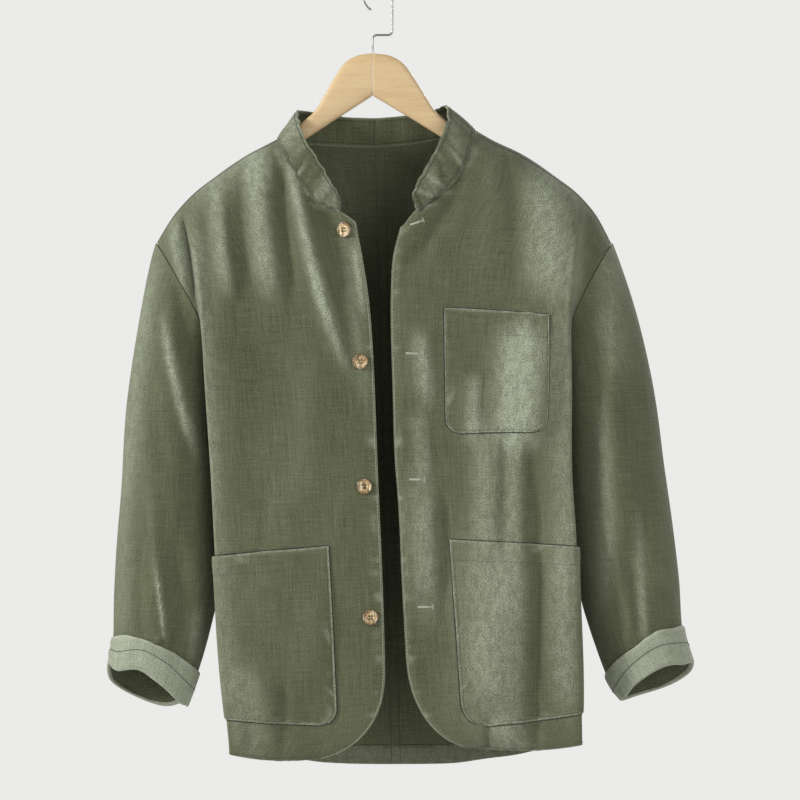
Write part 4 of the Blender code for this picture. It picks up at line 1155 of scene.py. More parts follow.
def make_sleeves(look, cuff_look):
    turn = full_turn(SLEEVE_STEPS)
    share = np.linspace(0, SLEEVE_END, SLEEVE_ROWS)
    for side_name, side in SIDES.items():
        points = sleeve(side, turn[None, :], share[:, None])
        normals = grid_normals(points, points.mean(axis=1, keepdims=True), True)
        girth = np.linspace(0, 1, SLEEVE_STEPS + 1)[None, :] * row_lengths(points)[:, -1:].mean()
        closed_z = np.concatenate([points[..., 2], points[:, :1, 2]], axis=1)
        uv = np.stack([np.broadcast_to(girth, closed_z.shape), closed_z], axis=-1)
        front = np.broadcast_to(np.sin(turn) >= 0, points.shape[:2])
        x, drop = points[..., 0], -points[..., 2]
        # Pale nap and painted highlights, half as strong round the back
        wear_and_painted_light = pale_nap_and_highlight(SLEEVE_NAP_AND_HIGHLIGHTS, sleeve_lift(front, x, drop), x, drop)
        wear_and_painted_light = np.where(front, 1, SLEEVE_BACK_NAP_AND_HIGHLIGHT) * wear_and_painted_light
        piece = shell(f"sleeve_{side_name}_cloth", points, normals, CLOTH, look, uv, wear_and_painted_light, True)
        declare(f"sleeve_{side_name}")
        make_cuff(side_name, side, cuff_look)


def make_cuff(side_name, side, look):
    share, stand = (part[:, None] for part in cuff_profile().T)
    turn = full_turn(CUFF_STEPS)[None, :]
    places = share + ripple(CUFF_WAVE, turn, share, side) * (share < SLEEVE_END)
    points = np.stack([cuff_ring(side, turn, place, height) for place, height in zip(places, stand)])
    rows, columns = points.shape[:2]
    r, c = np.meshgrid(np.arange(rows), np.arange(columns), indexing="ij")
    corner_rows = np.stack([r, r, r + 1, r + 1], axis=-1).reshape(-1, 4)
    corner_columns = np.stack([c, c + 1, c + 1, c], axis=-1).reshape(-1, 4)
    faces = corner_rows % rows * columns + corner_columns % columns
    down = np.append(path_lengths(points[:, 0]), 0)
    girth = np.linspace(0, CUFF_GIRTH, columns + 1)
    uv = np.stack([girth[corner_columns], down[corner_rows]], axis=-1)
    wear_and_painted_light = CUFF_FADE + (1 - CUFF_FADE) * bell(share - CUFF_START, CUFF_EDGE_SHARE)
    wear_and_painted_light = np.broadcast_to(wear_and_painted_light, (rows, columns))
    piece = mesh_object(f"cuff_{side_name}_cloth", points.reshape(-1, 3), faces, look, uv, wear_and_painted_light)
    declare(f"cuff_{side_name}")


def cuff_ring(side, turn, share, stand):
    """One ring of the cuff, standing off the sleeve's surface."""
    turn = np.ravel(turn)
    share = np.broadcast_to(np.ravel(share), turn.shape)
    points = sleeve(side, turn, share)
    by_turn = sleeve(side, turn + CUFF_NUDGE, share) - sleeve(side, turn - CUFF_NUDGE, share)
    below = np.minimum(share + CUFF_NUDGE, 1)
    by_share = sleeve(side, turn, below) - sleeve(side, turn, share - CUFF_NUDGE)
    normals = unit(np.cross(by_share, by_turn))
    normals = normals * np.sign(np.sum(normals * (points - points.mean(axis=0))))
    return points + normals * stand


# The collar

def collar_crinkle(side, share, height):
    """The fine gathers that run up a collar half, square to its seam."""
    return ripple(COLLAR_CRINKLE, share * COLLAR_RUN, height * COLLAR_RISE, side)


def collar(side, share, height):
    """Points of a collar half: share from the centre back to its tip, height from its seam upwards."""
    share, height = np.broadcast_arrays(np.asarray(share, float), np.asarray(height, float))
    into_tip = np.clip((share - 1 + COLLAR_TIP_SHARE) / COLLAR_TIP_SHARE, 0, 1)
    height = height * (COLLAR_TIP_HEIGHT + (1 - COLLAR_TIP_HEIGHT) * np.sqrt(1 - into_tip**2))
    seam = collar_line(side, "seam", share)
    top = collar_line(side, "top", share)
    seam = seam + unit(top - seam) * COLLAR_LIFT
    points = (seam + (top - seam) * height[..., None]) * [1, 1, -1]
    run = share * COLLAR_RUN
    rise = height * COLLAR_RISE
    swell = COLLAR_SWELL * np.sin(math.pi * height) + ripple(COLLAR_RIPPLE, run, rise, side)
    swell = swell + collar_crinkle(side, share, height) * smooth_step(height / COLLAR_CRINKLE_START)
    swell = swell + pucker(rise, run) + pucker(COLLAR_RISE - rise, run + COLLAR_TOP_SHIFT)
    swell = swell + crease_lift(COLLAR_CREASES, points[..., 0], -points[..., 2]) * (points[..., 1] < 0)
    away = unit(points - collar_centre(points))
    return points + away * (swell * smooth_step(share / COLLAR_JOIN_SHARE))[..., None]


def make_collar(look):
    share = edge_spaced(COLLAR_COLUMNS)[None, :]
    height = edge_spaced(COLLAR_ROWS)[:, None]
    for side_name, side in SIDES.items():
        name = f"collar_{side_name}"
        points = collar(side, share, height)
        normals = grid_normals(points, collar_centre(points))
        across = row_lengths(points)
        down = column_lengths(points)
        uv = np.stack([across, -down], axis=-1)
        # Painted highlights on the crests of the crinkles and where laid, on the front of the collar only;
        # rubbed edges all round
        crinkle_highlight = COLLAR_CRINKLE_HIGHLIGHT * smooth_step(collar_crinkle(side, share, height) / COLLAR_CRINKLE.height)
        edges = [edge_wear(down), edge_wear(down[-1] - down), edge_wear(across[:, -1:] - across)]
        laid = crease_lift(COLLAR_NAP_AND_HIGHLIGHTS, points[..., 0], -points[..., 2])
        nap_and_highlight = np.clip(crinkle_highlight + laid, 0, 1) * (points[..., 1] < 0)
        wear_and_painted_light = np.maximum.reduce([nap_and_highlight, *edges])
        piece = shell(f"{name}_cloth", points, normals, COLLAR_CLOTH, look, uv, wear_and_painted_light)
        declare(name)


# The pockets

def pocket_heights():
    """Shares from a pocket's mouth to its foot, closer together at the mouth and at the round corners."""
    straight = edge_spaced(POCKET_ROWS) * (1 - POCKET_CORNER_SHARE)
    corner = 1 - POCKET_CORNER_SHARE * np.cos(np.linspace(0, math.pi / 2, POCKET_CORNER_ROWS + 1))
    return np.concatenate([straight, corner[1:-1], [1.0]])


def pocket_edges(pocket, b):
    """The s and t of the pocket's inner edge and of its outer edge at these heights."""
    drop_in = pocket.drop_in + (pocket.low_in - pocket.drop_in) * b
    drop_out = pocket.drop_out + (pocket.low_out - pocket.drop_out) * b
    into_corner = np.clip((drop_in - (pocket.low_in - pocket.corner)) / pocket.corner, 0, 1)
    inset = pocket.corner * (1 - np.sqrt(1 - into_corner**2)) * pocket.side
    x_in = pocket.inner_top + (pocket.inner_low - pocket.inner_top) * b + inset
    inner = panel_place(pocket.side, x_in, drop_in)
    if pocket.outer_top is None:
        half = body_half("front_half", drop_out) * POCKET_SIDE_PLACE
        near_fold = panel_place(pocket.side, body_half("centre", drop_out) + pocket.side * half, drop_out)
        return inner, (np.full_like(b, POCKET_SEAM_SHARE), near_fold[1])
    x_out = pocket.outer_top + (pocket.outer_low - pocket.outer_top) * b - inset
    return inner, panel_place(pocket.side, x_out, drop_out)


def pocket_place(pocket, a, b):
    """The s and t under a pocket: a from its inner edge to its outer edge, b from its mouth to its foot."""
    (s_in, t_in), (s_out, t_out) = pocket_edges(pocket, b)
    return s_in + (s_out - s_in) * a, t_in + (t_out - t_in) * a


def groove(row, distance):
    """How far a line of stitching draws the cloth in."""
    return row.depth * bell(distance - row.inset, row.half_width)


def pocket_points(pocket, a, b):
    """Points of a pocket on its front, by the same shares."""
    s, t = pocket_place(pocket, a, b)
    under = panel(pocket.side, FRONT, s, t)
    by_s = panel(pocket.side, FRONT, s + PLACE_NUDGE, t) - under
    by_t = panel(pocket.side, FRONT, s, t + PLACE_NUDGE) - under
    out = unit(np.cross(by_s, by_t))
    out = -out * np.sign(out[..., 1].sum())
    across = a * POCKET_WIDTH
    down = b * (pocket.low_in - pocket.drop_in)
    edge = np.minimum(np.minimum(a, 1 - a) * POCKET_WIDTH, (1 - b) * (pocket.low_in - pocket.drop_in))
    arch = np.sin(math.pi * np.clip(a, 0, 1))
    puff = pocket.puff * arch * np.sqrt(np.sin(math.pi * b).clip(0))
    puff = puff + POCKET_MOUTH_PUFF * arch * bell(down, POCKET_MOUTH_REACH)
    puff = puff + POCKET_PUCKER * pucker(edge, across + down) * smooth_step(edge / POCKET_PUCKER_START)
    puff = puff - groove(POCKET_EDGE_GROOVE, edge) - groove(POCKET_HEM_GROOVE, down - pocket.hem)
    return under + out * (CLOTH + SEAM_GAP + puff)[..., None]


def make_pockets(look):
    a = edge_spaced(POCKET_COLUMNS)[None, :]
    b = pocket_heights()[:, None]
    for name, pocket in POCKETS.items():
        points = pocket_points(pocket, a, b)
        normals = grid_normals(points, body_centre(points))
        across = row_lengths(points)
        down = column_lengths(points)
        uv = np.stack([across - across[:, POCKET_COLUMNS // 2, None], points[..., 2]], axis=-1)
        edge = np.minimum.reduce([across, across[:, -1:] - across, down[-1] - down, down])
        x, drop = points[..., 0], -points[..., 2]
        # The front's pale nap and painted highlights carry on over the pocket, with its rubbed edges and
        # painted highlights on its gathers
        nap_and_highlight = pale_nap_and_highlight(FRONT_NAP_AND_HIGHLIGHTS, body_lift(FRONT, x, drop), x, drop)
        rubbed = POCKET_EDGE_WEAR * edge_wear(edge, POCKET_EDGE_REACH)
        wear_and_painted_light = np.maximum.reduce([rubbed, nap_and_highlight, gather_highlight(edge, across + down)])
        piece = shell(f"{name}_cloth", points, normals, CLOTH, look, uv + POCKET_WEAVE_SHIFT, wear_and_painted_light)
        declare(name)


# Stitching and buttonholes

def capsules(centres, tangents, normals, length, radius):
    """Points and faces of many small rounded bars, one at each centre."""
    across = unit(np.cross(tangents, normals))
    up = np.cross(across, tangents)
    turn = full_turn(BAR_SIDES)[None, :, None]
    ring = across[:, None] * np.cos(turn) + up[:, None] * np.sin(turn)
    run = tangents * np.broadcast_to(length, len(centres))[:, None]
    parts = [(centres + run * place)[:, None] + ring * radius * size for place, size in BAR_RINGS]
    points = np.stack(parts, axis=1).reshape(-1, 3)
    count = len(BAR_RINGS) * BAR_SIDES
    last = count - BAR_SIDES
    faces = []
    for start in range(0, last, BAR_SIDES):
        for step in range(BAR_SIDES):
            a = start + step
            b = start + (step + 1) % BAR_SIDES
            faces.append((a, b, b + BAR_SIDES, a + BAR_SIDES))
    faces += [cap[::-1] for cap in BAR_CAPS]
    faces += [tuple(last + corner for corner in cap) for cap in BAR_CAPS]
    numbers = np.array(faces)[None] + np.arange(len(centres))[:, None, None] * count
    return points, numbers.reshape(-1, 4)


def make_bars(name, bars, length, radius, look):
    """Many bars of thread as one object, from their centres, directions and normals."""
    points, faces = capsules(*bars, length, radius)
    mesh_object(name, points, faces, look)


def on_surface(surface, u, v, centre):
    """Points of a surface and its outward normals along a path in its own shares."""
    points = surface(u, v)
    by_u = surface(u + PLACE_NUDGE, v) - surface(u - PLACE_NUDGE, v)
    by_v = surface(u, v + PLACE_NUDGE) - surface(u, v - PLACE_NUDGE)
    normals = unit(np.cross(by_u, by_v))
    return points, normals * np.sign(np.sum(normals * (points - centre(points))))


def line_on(surface, u, v, centre=body_centre, thickness=CLOTH):
    """A line over a cloth surface: its points, its outward normals and the cloth's thickness."""
    u, v = np.broadcast_arrays(np.asarray(u, float), np.asarray(v, float))
    return (*on_surface(surface, u, v, centre), thickness)


def read_along(values, reach, at):
    """Vectors along a path of these lengths, read at other lengths."""
    return np.stack([np.interp(at, reach, values[:, k]) for k in range(3)], axis=-1)


def stitched(points, normals, thickness, pitch):
    """Stitch centres, directions and normals along a path on a cloth's middle."""
    reach = path_lengths(points)
    at = np.arange(pitch / 2, reach[-1], pitch)
    ahead = read_along(points, reach, at + STITCH_LOOK)
    behind = read_along(points, reach, at - STITCH_LOOK)
    out = unit(read_along(normals, reach, at))
    stand = thickness / 2 + STITCH_RADIUS * STITCH_STAND
    return read_along(points, reach, at) + out * stand, unit(ahead - behind), out


def pocket_rows(pocket):
    """The stitched lines on a pocket: round its edge, and across under its mouth."""
    height = pocket.low_in - pocket.drop_in
    inset = EDGE_STITCH / POCKET_STITCH_WIDTH
    foot = 1 - EDGE_STITCH / height
    down = np.linspace(POCKET_STITCH_START, foot, POCKET_DOWN_LINE)
    over = np.linspace(inset, 1 - inset, POCKET_OVER_LINE)
    rows = [(inset, down), (over, foot), (over, pocket.hem / height)]
    if pocket.outer_top is not None:
        rows.append((1 - inset, down))
    return [line_on(partial(pocket_points, pocket), a, b) for a, b in rows]


def pocket_shadow_line(pocket):
    """A near-black cord on the front just outside a pocket's edge, down, along the foot and over the mouth:
    painted shadow of the pocket's edge.
    """
    down = pocket_heights()
    over = np.linspace(0, 1, POCKET_SHADOW_POINTS)
    paths = [(np.zeros_like(down), down), (over, np.ones_like(over)), (over, np.zeros_like(over))]
    if pocket.outer_top is not None:
        paths.append((np.ones_like(down), down))
    front = partial(panel, pocket.side, FRONT)
    middle = front(*pocket_place(pocket, 0.5, np.array([0.5])))
    lines = []
    for a, b in paths:
        points, normals, thickness = line_on(front, *pocket_place(pocket, a, b))
        beside = np.cross(unit(np.gradient(points, axis=0)), normals)
        away = np.sign(np.sum(beside * (points - middle)))
        lines.append((points + beside * away * POCKET_SHADOW_OFFSET, normals, thickness))
    return lines


def front_edge_line(side):
    """The line of stitching beside a free front edge."""
    down = np.linspace(*FRONT_EDGE_SPAN, LONG_LINE)
    return line_on(partial(panel, side, FRONT), EDGE_STITCH / PANEL_WIDTH, down)


def hem_line(side, face, depth):
    """A line of stitching along a panel's hem, this far above it."""
    return line_on(partial(panel, side, face), np.linspace(*HEM_SPAN, LINE), 1 - depth / PANEL_LENGTH)


def back_seam_line(side, s):
    """A line down a back panel beside the centre seam."""
    return line_on(partial(panel, side, BACK), s, np.linspace(*BACK_SEAM_SPAN, LONG_LINE))


def shoulder_line(side):
    """The shoulder seam, just to the front of the shoulder line."""
    return line_on(partial(panel, side, FRONT), np.linspace(*SHOULDER_SPAN, LINE), SHOULDER_SEAM_PLACE)


def collar_round_line(side, height):
    """A line along a collar half at this share of its height."""
    share = np.linspace(*COLLAR_SPAN, LINE)
    return line_on(partial(collar, side), share, height, collar_centre, COLLAR_CLOTH)


def collar_back_line():
    """The collar's own centre back seam."""
    height = np.linspace(*COLLAR_BACK_SPAN, SHORT_LINE)
    return line_on(partial(collar, RIGHT), COLLAR_BACK_PLACE, height, collar_centre, COLLAR_CLOTH)


def cuff_line(side):
    """The line of stitching round a turned-up cuff."""
    turn = np.linspace(0, 2 * math.pi, CUFF_LINE)
    share = CUFF_START + CUFF_STITCH_SHARE + CUFF_STITCH_BOW * np.cos(turn) ** 2
    points = cuff_ring(side, turn, share, CUFF_STITCH_STAND)
    return points, unit(points - cuff_ring(side, turn, share, 0.0)), CUFF_STITCH_RISE


def on_the_inside(lines):
    """The same lines on the inner face of the cloth."""
    return [(points, -normals, thickness) for points, normals, thickness in lines]


def make_stitching(name, lines, thread):
    parts = [stitched(*line, thread.pitch) for line in lines]
    bars = [np.concatenate(part) for part in zip(*parts)]
    make_bars(name, bars, STITCH_LENGTH, thread.radius, thread.look)


def make_side_stitching(side_name, side, edge, fine, seam):
    """The stitching of one side of the jacket, with the thread for its edge, its hem and its seams; the
    seam thread is a near-black unbroken line, painted shadow in the seams' grooves as well as stitching.
    """
    back_hem = [hem_line(side, BACK, HEM_STITCH)]
    collar_rows = [collar_round_line(side, height) for height in COLLAR_STITCH_HEIGHTS]
    seams = [collar_round_line(side, COLLAR_SEAM_HEIGHT), shoulder_line(side)]
    make_stitching(f"front_edge_stitching_{side_name}", [front_edge_line(side)], edge)
    make_stitching(f"front_hem_stitching_{side_name}", [hem_line(side, FRONT, EDGE_STITCH)], fine)
    make_stitching(f"back_hem_stitching_{side_name}", back_hem + on_the_inside(back_hem), seam)
    make_stitching(f"collar_stitching_{side_name}", collar_rows + on_the_inside(collar_rows), seam)
    make_stitching(f"seams_{side_name}", seams, seam)
    make_stitching(f"cuff_stitching_{side_name}", [cuff_line(side)], seam)


def make_centre_seam(seam):
    """The centre back seam on both faces, with the edge of its turned cloth inside, in the near-black seam
    thread that paints the groove's shadow.
    """
    lines = [back_seam_line(RIGHT, BACK_SEAM_PLACE), collar_back_line()]
    inside = on_the_inside([*lines, back_seam_line(LEFT, BACK_SEAM_EDGE)])
    make_stitching("centre_back_seam", lines + inside, seam)


def buttonhole_bars(hole):
    """One worked buttonhole: its bars of thread with a painted highlight, its dull ones and its slit, a
    dark bar of painted shade, each with a length.
    """
    share = np.linspace(0, 1, HOLE_BARS)
    x = hole.x + (hole.end_x - hole.x) * share
    drop = hole.drop + (hole.end_drop - hole.drop) * share
    points, normals, _ = line_on(partial(panel, LEFT, FRONT), *panel_place(LEFT, x, drop))
    tangents = unit(np.gradient(points, axis=0))
    across = unit(np.cross(normals, tangents))
    top = points + normals * (CLOTH / 2 + HOLE_STAND)
    rows = [(top + across * row * HOLE_ROW_PLACE, across, normals) for row in (-1, 1)]
    highlit = [(*(part[:HOLE_HIGHLIT_BARS] for part in row), HOLE_BAR_LENGTH) for row in rows]
    dull = [(*(part[HOLE_HIGHLIT_BARS:] for part in row), HOLE_BAR_LENGTH) for row in rows]
    ends = slice(-HOLE_END_BARS, None)
    dull.append((top[ends] + normals[ends] * HOLE_STAND, across[ends], normals[ends], HOLE_END_LENGTH))
    middle = slice(HOLE_BARS // 2, HOLE_BARS // 2 + 1)
    length = np.linalg.norm(points[-1] - points[0]) - HOLE_SLIT_SHORTER
    slit = (top[middle] - normals[middle] * HOLE_SLIT_SINK, tangents[middle], normals[middle], length)
    return highlit, dull, [slit]


def make_buttonholes(*looks):
    """Worked buttonholes on the left front: two rows of thread, the inner part brighter as a painted
    highlight, a bar at the outer end, and the slit, a dark bar of painted shade.
    """
    groups = zip(*(buttonhole_bars(hole) for hole in BUTTONHOLES))
    for (name, radius), look, group in zip(HOLE_RADII.items(), looks, groups):
        bars = sum(group, [])
        lengths = np.concatenate([np.full(len(bar[0]), bar[3]) for bar in bars])
        make_bars(name, [np.concatenate([bar[k] for bar in bars]) for k in range(3)], lengths, radius, look)


# Buttons

def button_seat(button):
    """Where a button sits on the right front, and the directions across, over and out of the cloth."""
    s, t = panel_place(RIGHT, button.x, button.drop)
    points, normals, _ = line_on(partial(panel, RIGHT, FRONT), np.array([s]), np.array([t]))
    up = normals[0]
    across = unit(np.cross(up, [0, 0, 1]))
    return points[0] + up * (CLOTH / 2 + BUTTON_SEAT_GAP), across, np.cross(up, across), up


def button_profile():
    """A turned button's section from the middle of its foot into its dish: radius and height."""
    radius = BUTTON_RADIUS - column(BUTTON_SECTION, "inset")
    outline = np.stack([radius, column(BUTTON_SECTION, "height")], axis=-1)
    round_part = along(outline, np.linspace(0, 1, BUTTON_SECTION_ROWS))
    inward = np.linspace(radius[-1], BUTTON_MIDDLE_RADIUS, BUTTON_DISH_ROWS)[1:]
    flat = np.stack([inward, np.full_like(inward, outline[-1, 1])], axis=-1)
    return np.concatenate([round_part, flat])


def make_buttons(look, thread_look):
    turn = full_turn(BUTTON_STEPS)
    profile = button_profile()
    flat_x = profile[:, :1] * np.cos(turn)
    flat_y = profile[:, :1] * np.sin(turn)
    height = np.broadcast_to(profile[:, 1:], flat_x.shape).copy()
    on_top = np.arange(len(profile))[:, None] > BUTTON_TOP_ROW
    for sign_x, sign_y in ((1, 1), (-1, 1), (-1, -1), (1, -1)):
        near = np.hypot(flat_x - sign_x * BUTTON_HOLE_OFFSET, flat_y - sign_y * BUTTON_HOLE_OFFSET)
        height -= on_top * BUTTON_HOLE_DEPTH * fade_in(BUTTON_HOLE_RADIUS - near, BUTTON_HOLE_SOFTNESS)
    # Painted shade round the rim, darker towards the edge
    rim = smooth_step((profile[:, 0] - BUTTON_RIM_SHADE_START) / BUTTON_RIM_SHADE_WIDTH)
    wear_and_painted_light = np.append(np.repeat(rim, BUTTON_STEPS), [0, 0])
    for number, button in enumerate(BUTTONS, start=1):
        seat, across, over, up = button_seat(button)
        rings = seat + flat_x[..., None] * across + flat_y[..., None] * over + height[..., None] * up
        ends = [seat, seat + up * height[-1].mean()]
        piece = capped_rings(f"button_{number}_horn", rings, ends, look, wear_and_painted_light)
        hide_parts(f"button_{number}")
        make_button_thread(number, seat, across, over, up, thread_look)


def make_button_thread(number, seat, across, over, up, look):
    """Four strands of thread, in two pairs from hole to hole."""
    middle = seat + up * (BUTTON_HEIGHT - BUTTON_DISH + BUTTON_THREAD_STAND)
    shifts = (-BUTTON_THREAD_APART, BUTTON_THREAD_APART)
    places = [BUTTON_HOLE_OFFSET * pair + shift for pair in (-1, 1) for shift in shifts]
    centres = np.array([middle + over * place for place in places])
    bars = (centres, np.tile(across, (len(centres), 1)), np.tile(up, (len(centres), 1)))
    length = 2 * BUTTON_HOLE_OFFSET + BUTTON_THREAD_OVERHANG
    make_bars(f"button_{number}_thread", bars, length, BUTTON_THREAD_RADIUS, look)


# The hanger and its hook

def hanger_rows(side):
    """One half of the hanger: its neck, then its arm under the shoulder seam."""
    stretch = HANGER_LEFT_STRETCH if side == LEFT else 1.0
    rows = [HANGER_NECK[0]]
    rows += [HangerRow(row.half * stretch, row.top_drop, row.low_drop) for row in HANGER_NECK[1:]]
    start = abs(COLLAR[side][COLLAR_SHOULDER_ROW].seam_x - HANGER_CENTRE_X)
    for step in range(HANGER_ARM_STATIONS):
        share = step / (HANGER_ARM_STATIONS - 1)
        half = start + (HANGER_REACH - start) * share
        x = HANGER_CENTRE_X + side * half
        top = float(shoulder_drop(side, abs(x - SHOULDER_CENTRE))) + CLOTH / 2 + HANGER_CLOTH_GAP
        top += HANGER_NECK_CLEARANCE * (1 - share) ** HANGER_CLEARANCE_POWER
        height = HANGER_ARM_HEIGHT[0] + (HANGER_ARM_HEIGHT[1] - HANGER_ARM_HEIGHT[0]) * share
        rows.append(HangerRow(half, top, top + height))
    return rows


def hanger_rings(side):
    """Rings along one half of the hanger, eased at the joint and rounded at the end of the arm."""
    turn = full_turn(HANGER_STEPS)
    power = 2 / HANGER_SECTION_POWER
    round_y = np.sign(np.cos(turn)) * np.abs(np.cos(turn)) ** power
    round_z = np.sign(np.sin(turn)) * np.abs(np.sin(turn)) ** power
    rows = hanger_rows(side)
    half = column(rows, "half")
    fine = half[0] + (half[-1] - half[0]) * np.linspace(0, 1, HANGER_STATIONS) ** HANGER_STATION_POWER
    top = curve(half, column(rows, "top_drop"), fine)
    low = curve(half, column(rows, "low_drop"), fine)
    inset = np.ones_like(fine)
    inset[: len(HANGER_JOINT_INSETS)] = HANGER_JOINT_INSETS
    from_end = np.clip((fine[-1] - fine) / HANGER_END_ROUND, 0, 1)
    inset = inset * np.sqrt(1 - (1 - from_end) ** 2).clip(HANGER_END_INSET)
    x = np.broadcast_to((HANGER_CENTRE_X + side * fine)[:, None], (HANGER_STATIONS, HANGER_STEPS))
    y = round_y[None, :] * HANGER_THICKNESS / 2 * inset[:, None]
    z = -((top + low) / 2)[:, None] + round_z[None, :] * ((low - top) / 2 * inset)[:, None]
    return np.stack([x, y, z], axis=-1)


def make_hanger(look):
    for side_name, side in SIDES.items():
        rings = hanger_rings(side)
        ends = [rings[0].mean(axis=0), rings[-1].mean(axis=0)]
        piece = capped_rings(f"hanger_{side_name}_wood", rings, ends, look)
        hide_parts(f"hanger_{side_name}")


def arc(centre_x, centre_z, radius, start, end, steps):
    """Points of an arc in the plane of the hanger, its angles in radians."""
    return [
        (centre_x + radius * math.cos(angle), 0.0, centre_z + radius * math.sin(angle))
        for angle in np.linspace(start, end, steps)
    ]


def hook_path():
    """The wire's middle line: up out of the wood, across, up again and over the rail."""
    loop = HOOK_INNER_RADIUS + WIRE_RADIUS
    bend = HOOK_BEND_RADIUS
    foot = -HANGER_NECK[0].top_drop + SEAM_GAP
    path = [(HANGER_CENTRE_X, 0.0, foot)]
    quarter = math.pi / 2
    path += arc(HANGER_CENTRE_X + bend, -HOOK_OFFSET_DROP - bend, bend, math.pi, quarter, HOOK_BEND_STEPS)
    path += arc(loop - bend, -HOOK_OFFSET_DROP + bend, bend, -quarter, 0, HOOK_BEND_STEPS)
    path += arc(0.0, -HOOK_INNER_RADIUS, loop, 0, HOOK_END_ANGLE, HOOK_LOOP_STEPS)
    return np.array(path)


def make_hook(look):
    path = hook_path()
    tangents = unit(np.gradient(path, axis=0))
    side = np.array([0.0, 1.0, 0.0])
    over = np.cross(tangents, side)[:, None]
    turn = full_turn(HOOK_STEPS)[None, :, None]
    rings = path[:, None] + WIRE_RADIUS * (side * np.cos(turn) + over * np.sin(turn))
    ends = [path[0] - tangents[0] * HOOK_FOOT_ROUND, path[-1] + tangents[-1] * WIRE_RADIUS]
    piece = capped_rings("hook_wire", rings, ends, look)
    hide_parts("hook")


# Materials

class Nodes:
    """Shader nodes, made and linked one by one."""

    def __init__(self, tree):
        self.tree = tree

    def node(self, kind, **settings):
        made = self.tree.nodes.new(kind)
        for name, value in settings.items():
            setattr(made, name, value)
        return made

    def link(self, value, socket):
        if hasattr(value, "links"):
            self.tree.links.new(value, socket)
        else:
            socket.default_value = value

    def place(self, kind, scale):
        """Coordinates in metres, stretched; the cloth's own come from its UV map."""
        if kind == "cloth":
            source = self.node("ShaderNodeUVMap", uv_map="cloth").outputs["UV"]
        else:
            source = self.node("ShaderNodeTexCoord").outputs[kind]
        stretched = self.node("ShaderNodeVectorMath", operation="MULTIPLY")
        self.link(source, stretched.inputs[0])
        stretched.inputs[1].default_value = scale
        return stretched.outputs[0]

    def noise(self, kind, scale, detail=2.0, roughness=0.5, distortion=0.0):
        made = self.node("ShaderNodeTexNoise")
        self.link(self.place(kind, scale), made.inputs["Vector"])
        made.inputs["Scale"].default_value = 1.0
        made.inputs["Detail"].default_value = detail
        made.inputs["Roughness"].default_value = roughness
        made.inputs["Distortion"].default_value = distortion
        return made.outputs["Fac"]

    def math(self, operation, first, second=0.0):
        made = self.node("ShaderNodeMath", operation=operation)
        self.link(first, made.inputs[0])
        self.link(second, made.inputs[1])
        return made.outputs[0]

    def weighted(self, *parts):
        """The sum of some values, each times its weight."""
        scaled = [self.math("MULTIPLY", value, weight) for value, weight in parts]
        return reduce(partial(self.math, "ADD"), scaled)

    def spread(self, value, low, high, to_low=0.0, to_high=1.0):
        """The value mapped from one range to another, held at its ends."""
        made = self.node("ShaderNodeMapRange", interpolation_type="SMOOTHSTEP")
        self.link(value, made.inputs["Value"])
        ends = {"From Min": low, "From Max": high, "To Min": to_low, "To Max": to_high}
        for name, number in ends.items():
            made.inputs[name].default_value = number
        return made.outputs["Result"]

    def mix(self, share, first, second):
        """A blend of two colours, each a tuple or another node's output."""
        made = self.node("ShaderNodeMix", data_type="RGBA")
        self.link(share, made.inputs["Factor"])
        sockets = [socket for socket in made.inputs if socket.type == "RGBA"]
        for value, socket in zip((first, second), sockets):
            self.link((*value, 1) if isinstance(value, tuple) else value, socket)
        return next(out for out in made.outputs if out.type == "RGBA")

    def attribute(self, name):
        return self.node("ShaderNodeAttribute", attribute_name=name).outputs["Fac"]

    def bump(self, height, distance):
        made = self.node("ShaderNodeBump")
        made.inputs["Distance"].default_value = distance
        made.inputs["Strength"].default_value = 1.0
        self.link(height, made.inputs["Height"])
        return made.outputs["Normal"]


class Look(Nodes):
    """A procedural material, built node by node."""

    def __init__(self, name):
        self.material = bpy.data.materials.new(name)
        self.material.use_nodes = True
        super().__init__(self.material.node_tree)
        self.shader = self.tree.nodes["Principled BSDF"]

    def finish(self, colour, roughness, normal=None, **values):
        self.link(colour, self.shader.inputs["Base Color"])
        self.link(roughness, self.shader.inputs["Roughness"])
        if normal is not None:
            self.link(normal, self.shader.inputs["Normal"])
        for name, value in values.items():
            self.shader.inputs[name.replace("_", " ")].default_value = value
        return self.material


